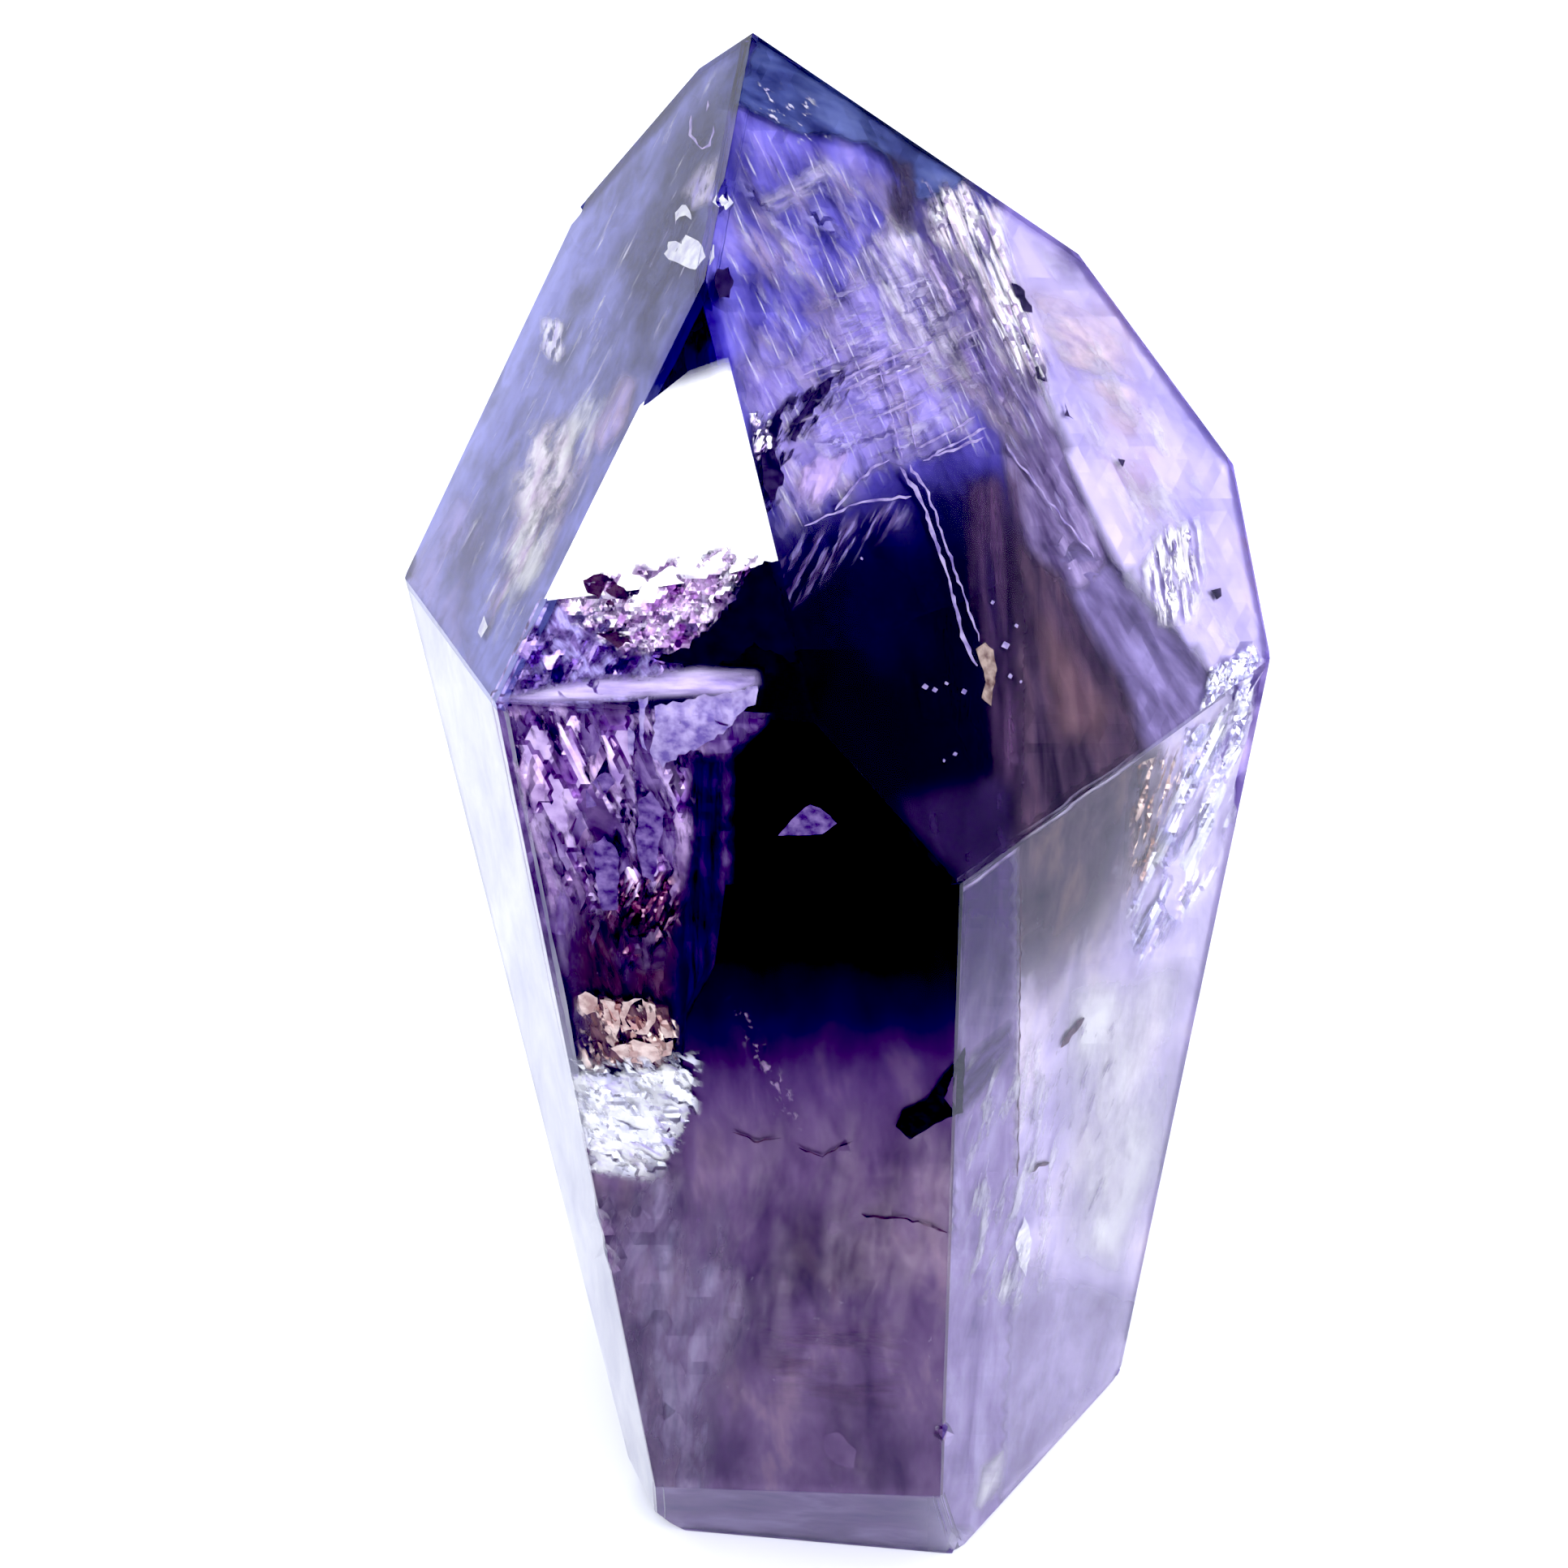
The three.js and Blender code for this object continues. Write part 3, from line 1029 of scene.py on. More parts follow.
def add_front_flakes():
    veil = behind("front", add_veil)
    fracture = behind("front", add_fracture)
    drawn = behind("front", add_drawn)
    veil("wash", 1.5,
         [(590, 850), (960, 880), (908, 935), (908, 1110), (895, 1190), (860, 1256), (850, 1340),
          (690, 1350), (660, 1200)],
         [(0.12, 0.07, 0.22), (0.3, 0.21, 0.44), (0.14, 0.08, 0.24), (0.38, 0.28, 0.52)], 78, (120, 50),
         opacity=1.0, gap=(-0.2, 0.1), fades=[((840, 1330), (780, 1080))], feather=5)
    fracture("violet_flakes", 0.8,
             [(600, 860), (800, 872), (900, 860), (935, 850), (880, 930), (860, 960), (840, 1060),
              (800, 1110), (700, 1140), (650, 1030)],
             (0.3, 0.2, 0.44), (0.74, 0.56, 0.86), (100, 36), 68, slope=0.38, relief=0.07, roughness=0.32,
             step=6, gap=(0.45, 0.52), feather=14, seed=8)
    fracture("deep_flakes", 1.3,
             [(610, 868), (880, 880), (850, 1090), (820, 1200), (700, 1210), (660, 1080)],
             (0.2, 0.11, 0.3), (0.62, 0.44, 0.72), (110, 36), 84, slope=0.36, relief=0.08, roughness=0.32,
             step=7, gap=(0.45, 0.52), feather=14, seed=9)
    veil("brown", 1.1, [(690, 1110), (830, 1080), (880, 1180), (840, 1270), (690, 1250)],
         [DUSK, BROWN, (0.2, 0.1, 0.17)], 70, (70, 18), opacity=0.85, gap=(0.3, 0.5), feather=40, step=12)
    fracture("brown_flakes", 0.8, [(740, 1080), (830, 1070), (850, 1130), (800, 1190), (750, 1180)],
             (0.2, 0.09, 0.16), (0.75, 0.45, 0.6), (40, 9), 116, slope=0.5, relief=0.15, step=5,
             gap=(0.45, 0.52), feather=14, seed=10)
    veil("dark_column", 0.9,
         [(840, 930), (897, 930), (894, 1115), (882, 1190), (850, 1258), (838, 1400), (850, 1460),
          (820, 1400), (826, 1260), (826, 1150), (850, 1030)],
         [INK, DEEP_VIOLET, (0.07, 0.03, 0.15)], 90, (120, 14), opacity=0.9, gap=(0.2, 0.4), feather=12,
         step=10)
    drawn("slivers",
          [[(788, 984), (800, 975), (820, 1000), (812, 1040), (806, 1086), (790, 1080), (784, 1030)],
           [(731, 1040), (745, 1030), (762, 1050), (760, 1120), (742, 1122), (734, 1090)],
           [(724, 966), (745, 950), (759, 958), (742, 990), (722, 994)]],
          0.45, SHARDS["violet"], jag=2, seed=34)
    drawn("chip",
          [[(806, 872), (936, 848), (934, 866), (880, 912), (850, 926), (815, 944), (802, 930)]],
          0.4, SHARDS["lilac"], jag=3, seed=33)
    drawn("bright_slivers",
          [[(786, 864), (797, 862), (793, 900), (796, 924), (789, 920)],
           [(775, 897), (782, 900), (779, 930), (775, 928)]],
          0.5, SHARDS["lilac"], jag=2.2, seed=34)


def add_front_patch():
    veil = behind("front", add_veil)
    fracture = behind("front", add_fracture)
    drawn = behind("front", add_drawn)
    fracture("bright_fracture", 0.3,
             [(696, 1300), (870, 1292), (866, 1370), (840, 1420), (818, 1462), (720, 1450)],
             (0.82, 0.82, 0.95), WHITE, (50, 20), 30, slope=0.4, relief=0.08, roughness=0.3, step=5,
             gap=(0.47, 0.51), feather=18, seed=11)
    veil("bright_veil", 0.45,
         [(680, 1306), (862, 1296), (872, 1340), (860, 1400), (834, 1440), (812, 1470), (716, 1462)],
         [LILAC, WHITE, WHITE, LILAC], 28, (50, 20), opacity=1.0, gap=(0.2, 0.34), feather=32, step=8,
         ragged=0.6)
    fracture("tan_fracture", 0.35, [(704, 1222), (800, 1226), (838, 1250), (838, 1320), (714, 1322)],
             (0.5, 0.28, 0.26), (1.0, 0.85, 0.78), (30, 12), 60, slope=0.45, relief=0.08, roughness=0.3,
             step=5, gap=(0.5, 0.54), feather=14, seed=12)
    veil("tan_veil", 0.48, [(704, 1218), (840, 1222), (842, 1330), (714, 1330)],
         [DUSK, (0.2, 0.11, 0.13), TAN], 70, (44, 20), opacity=0.95, gap=(0.25, 0.45), feather=26, step=8,
         ragged=0.4)
    drawn("cream_flakes",
          [[(712, 1226), (722, 1220), (737, 1230), (734, 1247), (722, 1251), (715, 1240)],
           [(742, 1233), (758, 1236), (765, 1260), (757, 1282), (746, 1270)],
           [(768, 1234), (790, 1230), (776, 1240), (770, 1256), (778, 1268), (768, 1272), (763, 1252)],
           [(790, 1230), (806, 1240), (808, 1258), (796, 1274), (780, 1274), (794, 1264), (798, 1250)],
           [(752, 1292), (780, 1282), (806, 1286), (830, 1282), (826, 1300), (800, 1312), (770, 1308)],
           [(812, 1262), (830, 1268), (834, 1280), (818, 1278)]],
          0.3, SHARDS["cream"], jag=1.6, seed=35)


def add_front_haze():
    veil = behind("front", add_veil)
    threads = behind("front", add_threads)
    veil("haze", 0.6,
         [(894, 1090), (1300, 1090), (1300, 1960), (600, 1960), (600, 1400), (820, 1396), (836, 1370),
          (846, 1256), (880, 1190)],
         [(0.13, 0.08, 0.17), (0.19, 0.12, 0.235), (0.24, 0.16, 0.285), ROSY_HAZE], 82, (170, 84),
         fades=[((1000, 1120), (1006, 1450))], feather=0, wave=0.05, dimmed=True)
    veil("grey", 0.4, [(690, 1440), (850, 1390), (930, 1450), (960, 1600), (900, 1900), (760, 1900)],
         [GREY, (0.3, 0.22, 0.36), GREY], 95, (160, 60), opacity=0.85, gap=(0.3, 0.6), feather=60,
         ragged=0.4)
    veil("light_cloud", 0.35, [(1000, 1390), (1260, 1390), (1260, 1620), (1010, 1630)],
         [(0.5, 0.36, 0.5), (1.0, 0.78, 0.9), (0.8, 0.6, 0.75)], 100, (110, 50), opacity=0.24,
         gap=(0.3, 0.6), feather=70, step=12, ragged=0.3)
    veil("wisps", 0.3, [(600, 1130), (1300, 1130), (1300, 1960), (600, 1960)],
         [(0.6, 0.45, 0.62), (0.95, 0.76, 0.95)], 98, (130, 46), opacity=0.24, gap=(0.46, 0.66),
         fades=[((980, 1330), (1000, 1450)), ((1000, 1760), (1000, 1560))], feather=0)
    veil("shades", 0.36, [(600, 1130), (1300, 1130), (1300, 1960), (600, 1960)],
         [(0.02, 0.01, 0.03), (0.05, 0.03, 0.07)], 86, (150, 80), opacity=0.24, gap=(0.48, 0.66),
         fades=[((980, 1330), (1000, 1450))], feather=0, seed=3)
    veil("dark_cloud", 0.45, [(920, 1470), (1100, 1480), (1090, 1610), (940, 1620)],
         [(0.02, 0.01, 0.03), (0.05, 0.03, 0.07)], 10, (80, 60), opacity=0.24, gap=(0.1, 0.5), feather=56,
         step=12)
    veil("dark_cloud_deep", 0.5, [(930, 1440), (1120, 1450), (1110, 1640), (930, 1640)],
         [(0.02, 0.01, 0.03), (0.05, 0.03, 0.07)], 30, (90, 50), opacity=0.24, gap=(0.2, 0.5), feather=66,
         step=12)
    veil("rosy_bands", 0.4, [(920, 1610), (1130, 1620), (1120, 1750), (930, 1740)],
         [HAZE, (0.26, 0.14, 0.25)], 4, (110, 20), opacity=0.6, gap=(0.44, 0.64), feather=40, step=12)
    veil("speckle", 0.4, [(885, 1215), (925, 1240), (1000, 1380), (985, 1410), (930, 1330)],
         [(0.36, 0.24, 0.42), (0.7, 0.52, 0.75)], 62, (14, 10), opacity=0.6, gap=(0.54, 0.64), feather=14,
         step=8)
    veil("low_dust", 0.25, [(600, 1130), (1300, 1130), (1300, 1960), (600, 1960)],
         [GREY, MILK], 90, (12, 10), opacity=0.4, gap=(0.66, 0.74), fades=[((980, 1330), (1000, 1430))],
         feather=0)
    threads("cracks",
            [(3, [(1060, 1497), (1100, 1500), (1141, 1507), (1165, 1520)]),
             (2.5, [(905, 1395), (935, 1408), (960, 1402)]),
             (2, [(985, 1415), (1012, 1425), (1050, 1405)])],
            0.3, SHARDS["mauve"], wobble=2.0, seed=54)


def add_front_core_details():
    drawn = behind("front", add_drawn)
    drawn("lens_spot",
          [[(958, 1030), (985, 1000), (998, 991), (1012, 996), (1032, 1014), (1014, 1028), (990, 1030)]],
          0.5, SHARDS["violet"], jag=1.2, seed=38)
    drawn("finger",
          [[(1104, 1388), (1112, 1368), (1140, 1356), (1160, 1330), (1187, 1292), (1184, 1372),
            (1166, 1378), (1140, 1392), (1122, 1404)]],
          0.28, SHARDS["ink"], jag=0.8, seed=39)


def add_right():
    veil = behind("right", add_veil)
    fracture = behind("right", add_fracture)
    drawn = behind("right", add_drawn)
    threads = behind("right", add_threads)
    veil("haze", 1.9, [(1180, 1080), (1600, 780), (1560, 1100), (1420, 1700), (1200, 1950), (1130, 1860)],
         [(0.5, 0.43, 0.7), (0.72, 0.64, 0.9), (0.97, 0.88, 1.0)], 98, (200, 80), opacity=1.0,
         gap=(-0.2, 0.2), feather=0)
    veil("smoke_veil", 1.6, [(1240, 1040), (1440, 900), (1440, 1180), (1400, 1290), (1250, 1300)],
         [(0.03, 0.016, 0.05), (0.1, 0.065, 0.11), (0.2, 0.13, 0.15)], 100, (110, 40), opacity=0.97,
         gap=(-0.1, 0.25), fades=[((1350, 1300), (1290, 1080)), ((1450, 1110), (1320, 1070))], feather=4,
         ragged=0.5)
    veil("strip", 1.4, [(1170, 1080), (1257, 1030), (1257, 1500), (1236, 1900), (1120, 1880), (1170, 1500)],
         [(0.2, 0.13, 0.38), (0.42, 0.32, 0.62), (0.62, 0.54, 0.84)], 96, (170, 40), opacity=0.9,
         gap=(0.0, 0.3), feather=3, step=12)
    veil("strip_dark", 1.1, [(1170, 1070), (1257, 1030), (1258, 1300), (1230, 1420), (1170, 1480)],
         [(0.02, 0.0, 0.09), (0.08, 0.03, 0.2)], 96, (120, 34), opacity=0.9, gap=(0.0, 0.3),
         fades=[((1200, 1360), (1225, 1080))], feather=3, step=12)
    veil("glow", 1.5, [(1290, 1200), (1480, 1160), (1450, 1450), (1400, 1600), (1300, 1560)],
         [MILK, WHITE], 100, (150, 50), opacity=0.9, gap=(0.25, 0.55), feather=60, step=18)
    veil("low", 1.6, [(1170, 1500), (1450, 1600), (1400, 1700), (1200, 1920), (1120, 1880)],
         [(0.38, 0.29, 0.54), (0.54, 0.46, 0.74), (0.72, 0.62, 0.92)], 104, (140, 50), opacity=0.85,
         gap=(0.15, 0.5), feather=50)
    veil("wisps", 0.9, [(1180, 1300), (1300, 1260), (1330, 1500), (1280, 1640), (1180, 1600)],
         [PALE_GREY, WHITE], 104, (80, 16), opacity=0.75, gap=(0.5, 0.62), feather=30, step=12)
    veil("dark_wisps", 1.0, [(1250, 1240), (1400, 1240), (1380, 1500), (1260, 1620)],
         [(0.2, 0.16, 0.3), GREY], 112, (60, 12), opacity=0.7, gap=(0.58, 0.66), feather=30, step=12)
    fracture("pit_feather", 0.7,
             [(1440, 880), (1560, 810), (1540, 960), (1500, 1090), (1400, 1220), (1380, 1130), (1440, 980)],
             (0.7, 0.68, 0.95), WHITE, (90, 18), 112, slope=0.4, relief=0.2, roughness=0.2, step=6,
             gap=(0.44, 0.52), feather=20, seed=13)
    fracture("tan_feather", 0.9, [(1390, 940), (1460, 900), (1470, 980), (1430, 1080), (1380, 1130)],
             (0.3, 0.18, 0.16), (0.9, 0.7, 0.6), (50, 9), 106, slope=0.5, relief=0.15, step=6,
             gap=(0.48, 0.56), feather=20, seed=14)
    # A matte white flake painted as a glint: a flame-shaped painted highlight.
    drawn("flames",
          [[(1252, 1530), (1262, 1498), (1272, 1528), (1264, 1572), (1256, 1560)]],
          0.6, SHARDS["white"], jag=1.2, seed=51)
    veil("low_glint", 0.6, [(1196, 1862), (1206, 1806), (1246, 1772), (1238, 1832), (1212, 1864)],
         [MILK, WHITE], 110, (60, 16), opacity=0.85, gap=(0.1, 0.4), feather=14, step=6)
    threads("marks",
            [(7, [(1308, 1290), (1318, 1275), (1336, 1254)]),
             (5, [(1267, 1446), (1280, 1436), (1294, 1433)]),
             (2, [(1258, 1080), (1256, 1300), (1254, 1450)])],
            0.6, SHARDS["mauve"], wobble=1.0, seed=55)
    veil("finger", 0.9,
         [(1170, 1330), (1200, 1290), (1250, 1250), (1256, 1290), (1215, 1350), (1170, 1400)],
         [DEEP_VIOLET, VIOLET], 130, (90, 20), opacity=0.9, gap=(0.1, 0.4), feather=16, step=8)


def add_right_tip_veils():
    veil = behind("tip_right", add_veil)
    veil("violet", 2.0,
         [(890, 30), (985, 80), (1120, 120), (1240, 200), (1260, 400), (1310, 640), (1270, 700),
          (1190, 740), (1130, 760), (1060, 800), (950, 800), (830, 345), (860, 245)],
         [(0.055, 0.045, 0.27), (0.11, 0.09, 0.4), PERIWINKLE, (0.28, 0.23, 0.66)], 66, (150, 60),
         opacity=1.0, fades=[((1130, 720), (1080, 490))], feather=0, dimmed=True)
    veil("wedge", 0.9,
         [(931, 10), (1105, 120), (1230, 215), (1170, 250), (1120, 262), (1100, 215), (1050, 188),
          (985, 178), (890, 134)],
         [(0.03, 0.034, 0.14), (0.075, 0.095, 0.28), (0.14, 0.17, 0.4)], 26, (110, 40), opacity=0.97,
         gap=(0.2, 0.4), feather=22, step=12, ragged=0.5)
    veil("wedge_glints", 0.7, [(935, 80), (1000, 110), (1030, 180), (960, 180), (925, 140)],
         [LILAC, WHITE], 42, (24, 7), opacity=0.9, gap=(0.58, 0.64), feather=12, step=8)
    veil("brown_wedge", 0.8, [(1090, 180), (1130, 200), (1140, 290), (1105, 295), (1090, 240)],
         [(0.03, 0.02, 0.05), (0.12, 0.09, 0.16)], 76, (50, 14), opacity=0.9, gap=(0.3, 0.5), feather=14,
         step=8)
    veil("lavender", 1.75,
         [(850, 400), (950, 400), (1030, 290), (1090, 180), (1170, 290), (1240, 430), (1262, 560),
          (1180, 590), (1135, 610), (1050, 655), (940, 730), (885, 560)],
         [(0.16, 0.125, 0.46), (0.34, 0.28, 0.66), (0.24, 0.19, 0.56), (0.5, 0.42, 0.76)], 62, (150, 60),
         opacity=1.0, gap=(0.2, 0.46), feather=76, ragged=0.6)
    veil("milk", 1.3, [(1020, 300), (1100, 230), (1170, 280), (1230, 430), (1160, 500), (1060, 450)],
         [LILAC, (0.8, 0.72, 0.95), WHITE], 62, (100, 16), opacity=0.8, gap=(0.38, 0.6), feather=50,
         step=12, ragged=0.3)
    veil("light_band", 1.5, [(925, 270), (935, 240), (1010, 195), (1040, 200), (1010, 240), (960, 270)],
         [LAVENDER, MILK], -24, (60, 16), opacity=0.8, gap=(0.3, 0.5), feather=16, step=10)
    veil("mauve", 1.5,
         [(1125, 220), (1175, 250), (1235, 320), (1262, 440), (1300, 570), (1220, 540), (1150, 440),
          (1122, 330)],
         [(0.05, 0.035, 0.1), MAUVE, (0.3, 0.22, 0.5)], 64, (100, 20), opacity=0.85, gap=(0.25, 0.5),
         feather=30, step=12)
    veil("pale", 1.6,
         [(1200, 230), (1360, 300), (1530, 540), (1550, 580), (1590, 812), (1510, 860), (1440, 770),
          (1366, 690), (1311, 568), (1262, 410)],
         [LAVENDER, LILAC, (0.62, 0.54, 0.86), ROSE_MILK], 52, (200, 100), opacity=0.97, gap=(-0.2, 0.1),
         feather=6)
    veil("rose_cloud", 1.3, [(1225, 330), (1330, 350), (1400, 400), (1440, 520), (1400, 560), (1290, 480)],
         [ROSE_MILK, (0.88, 0.72, 0.8), MILK], 30, (90, 40), opacity=0.9, gap=(0.3, 0.6), feather=56,
         step=12)
    veil("grey_cloud", 1.2, [(1240, 262), (1330, 300), (1370, 370), (1300, 350)],
         [MAUVE, (0.28, 0.24, 0.46)], 36, (70, 30), opacity=0.8, gap=(0.3, 0.6), feather=30, step=12)
    veil("inner", 1.7,
         [(1225, 420), (1270, 420), (1322, 568), (1376, 690), (1330, 740), (1260, 700), (1230, 560)],
         [(0.07, 0.045, 0.13), (0.2, 0.15, 0.32), (0.4, 0.32, 0.58)], 62, (110, 26), opacity=0.97,
         gap=(-0.1, 0.2), feather=14, step=12)
    veil("slate", 1.7,
         [(1270, 640), (1366, 680), (1450, 760), (1530, 830), (1490, 900), (1400, 950), (1340, 860)],
         [(0.08, 0.06, 0.15), (0.18, 0.14, 0.32), (0.34, 0.28, 0.58)], 56, (150, 40), opacity=0.97,
         gap=(-0.1, 0.2), feather=24)
    veil("brown", 1.5,
         [(1240, 640), (1310, 700), (1400, 850), (1420, 930), (1340, 980), (1240, 1060), (1245, 850)],
         [(0.012, 0.006, 0.022), (0.06, 0.034, 0.07), (0.12, 0.07, 0.115)], 84, (200, 30), opacity=0.95,
         gap=(0.0, 0.3), feather=20, step=12)
    veil("purple_low", 1.6, [(1090, 970), (1270, 930), (1290, 1060), (1190, 1120), (1100, 1030)],
         [(0.012, 0.006, 0.03), (0.04, 0.02, 0.085)], 84, (120, 30), opacity=0.9, gap=(0.0, 0.4),
         feather=40, step=12)
    veil("navy_glow", 1.7, [(1010, 660), (1160, 640), (1170, 830), (1080, 860), (1000, 780)],
         [(0.002, 0.003, 0.018), (0.004, 0.006, 0.035)], 70, (130, 60), opacity=0.7, gap=(0.3, 0.6),
         feather=50, step=12)
    veil("plum_bands", 1.5, [(1176, 590), (1270, 560), (1272, 1000), (1215, 960), (1196, 760)],
         [(0.025, 0.012, 0.055), (0.13, 0.065, 0.15)], 87, (220, 20), opacity=0.85, gap=(0.3, 0.6),
         feather=24, step=12)
    veil("rosy_patch", 1.2, [(1262, 740), (1300, 750), (1385, 870), (1370, 930), (1290, 920)],
         [(0.2, 0.1, 0.14), (0.4, 0.23, 0.28)], 80, (170, 30), opacity=0.85, gap=(0.1, 0.5), feather=50,
         step=12)


def add_right_tip_fibres():
    veil = behind("tip_right", add_veil)
    fracture = behind("tip_right", add_fracture)
    whole = [(905, 150), (1100, 200), (1250, 350), (1300, 560), (1130, 570), (1050, 630), (955, 690),
             (880, 350)]
    veil("fibres", 1.1, whole, [LILAC, WHITE], 66, (70, 5), opacity=0.65, gap=(0.57, 0.7), feather=26)
    veil("wisps", 1.3, whole,
         [LAVENDER, ROSE_MILK, WHITE], 56, (120, 34), opacity=0.7, gap=(0.46, 0.74), feather=40)
    veil("clouds", 1.6,
         [(905, 150), (1080, 190), (1110, 230), (1000, 300), (960, 420), (930, 540), (880, 350)],
         [(0.09, 0.07, 0.36), PERIWINKLE], 70, (110, 70), opacity=0.7, gap=(0.44, 0.66), feather=40)
    veil("dark_fibres", 1.2, whole,
         [(0.05, 0.035, 0.16), PERIWINKLE], 64, (80, 14), opacity=0.6, gap=(0.57, 0.68), feather=30)
    veil("cross_fibres", 0.9, [(950, 470), (1000, 420), (1200, 330), (1240, 480), (1120, 540), (980, 560)],
         [LILAC, ROSE_MILK], -24, (60, 6), opacity=0.6, gap=(0.54, 0.68), feather=30, step=12)
    veil("pale_streaks", 1.0,
         [(1250, 280), (1330, 330), (1490, 560), (1540, 800), (1480, 820), (1400, 700), (1300, 480)],
         [MILK, WHITE], 56, (90, 26), opacity=0.6, gap=(0.5, 0.7), feather=30)
    veil("inner_fibres", 0.9,
         [(1195, 400), (1260, 390), (1310, 520), (1370, 690), (1320, 720), (1260, 600), (1200, 540)],
         [LAVENDER, LILAC], 62, (80, 6), opacity=0.6, gap=(0.56, 0.68), feather=16, step=12)
    veil("jagged", 0.9,
         [(925, 540), (960, 490), (1040, 440), (1060, 480), (1000, 540), (970, 600), (955, 660),
          (935, 640)],
         [INK, DEEP_VIOLET], 122, (44, 12), opacity=0.95, gap=(0.5, 0.56), feather=10, step=8)
    veil("rosy_patch_high", 1.0,
         [(970, 560), (1030, 536), (1060, 550), (1050, 610), (1010, 640), (955, 680)],
         [(0.34, 0.26, 0.6), (0.5, 0.37, 0.7), (0.66, 0.5, 0.78)], 104, (70, 20), opacity=0.95,
         gap=(0.3, 0.5), feather=30, step=8, ragged=0.4)
    fracture("small_feather", 0.8, [(922, 505), (950, 505), (955, 560), (930, 570)],
             (0.7, 0.55, 0.9), WHITE, (24, 8), 110, slope=0.4, relief=0.1, step=4, gap=(0.4, 0.5),
             feather=6, seed=16)
    fracture("steps", 1.2,
             [(975, 350), (1100, 300), (1190, 330), (1236, 470), (1150, 570), (1060, 610), (975, 560)],
             (0.26, 0.2, 0.55), (0.85, 0.78, 1.0), (90, 15), -22, slope=0.3, relief=0.05, roughness=0.35,
             step=6, gap=(0.49, 0.6), opacity=0.5, feather=46, seed=88)
    fracture("high_steps", 1.2, [(900, 150), (1000, 190), (1090, 225), (1110, 320), (960, 370), (885, 320)],
             (0.14, 0.12, 0.5), (0.62, 0.56, 0.95), (90, 30), 38, slope=0.3, relief=0.05, roughness=0.35,
             step=6, gap=(0.5, 0.64), opacity=0.5, feather=36, seed=89)
    fracture("mauve_steps", 1.1,
             [(1110, 230), (1170, 260), (1240, 380), (1290, 540), (1220, 540), (1150, 430)],
             (0.13, 0.09, 0.26), (0.7, 0.56, 0.85), (80, 18), 64, slope=0.3, relief=0.05, roughness=0.35,
             step=6, gap=(0.5, 0.62), opacity=0.6, feather=30, seed=90)
    veil("dark_fringe", 0.8,
         [(950, 690), (985, 655), (1060, 625), (1110, 605), (1130, 640), (1060, 690), (1000, 740),
          (965, 760)],
         [(0.02, 0.01, 0.06), VIOLET, LAVENDER], 118, (60, 9), opacity=0.7, gap=(0.48, 0.58), feather=20,
         step=10)


def add_right_tip_feathers():
    veil = behind("tip_right", add_veil)
    fracture = behind("tip_right", add_fracture)
    fracture("white_feather", 0.9,
             [(1128, 215), (1190, 215), (1245, 255), (1250, 320), (1215, 330), (1180, 320), (1140, 300)],
             (0.75, 0.62, 0.9), WHITE, (70, 12), 70, slope=0.3, relief=0.04, roughness=0.36, step=5,
             gap=(0.42, 0.56), feather=26, seed=17)
    veil("white_veil", 1.1,
         [(1135, 220), (1195, 215), (1245, 262), (1265, 350), (1305, 450), (1295, 500), (1240, 450),
          (1195, 340), (1145, 300)],
         [LILAC, WHITE, (0.85, 0.7, 0.85), WHITE], 68, (110, 10), opacity=1.0, gap=(0.36, 0.54), feather=22,
         step=10, ragged=0.1)
    fracture("long_feather", 0.8,
             [(1195, 320), (1250, 330), (1300, 440), (1300, 520), (1250, 470), (1215, 400)],
             (0.6, 0.45, 0.8), WHITE, (80, 8), 68, slope=0.4, relief=0.05, roughness=0.36, step=5,
             gap=(0.46, 0.58), feather=20, seed=18)
    veil("side_veil", 0.8, [(1400, 700), (1426, 650), (1484, 630), (1492, 700), (1474, 770), (1426, 776)],
         [MILK, WHITE], 82, (60, 9), opacity=1.0, gap=(0.46, 0.52), feather=14, step=8)
    fracture("side_feather", 0.7,
             [(1410, 700), (1430, 656), (1476, 646), (1480, 700), (1466, 756), (1430, 762)],
             (0.85, 0.8, 0.95), WHITE, (60, 12), 84, slope=0.25, relief=0.08, step=5, gap=(0.5, 0.56),
             feather=10, seed=19)
    fracture("pit_feather", 0.7, [(1476, 880), (1490, 822), (1545, 790), (1560, 815), (1520, 870)],
             (0.75, 0.75, 1.0), WHITE, (30, 9), 100, slope=0.5, relief=0.12, step=5, gap=(0.34, 0.42),
             feather=8, seed=20)


# Small pale flakes behind the right tip facet, painted sparkles: a picture point and a size in pixels.
SPARKS = [
    (1239, 795, 5), (1252, 771, 3), (1223, 742, 3), (1177, 929, 3), (1163, 937, 2), (1245, 833, 3),
    (1258, 840, 2), (1062, 688, 2), (1318, 700, 2), (1140, 846, 4), (1152, 850, 4), (1166, 842, 3),
    (1188, 852, 4),
]


def spark(x, y, size):
    """A small four-sided flake round a point of the picture."""
    left = (x - size, y + size * 0.3)
    top = (x - size * 0.2, y - size)
    right = (x + size, y - size * 0.2)
    bottom = (x + size * 0.3, y + size)
    return [left, top, right, bottom]


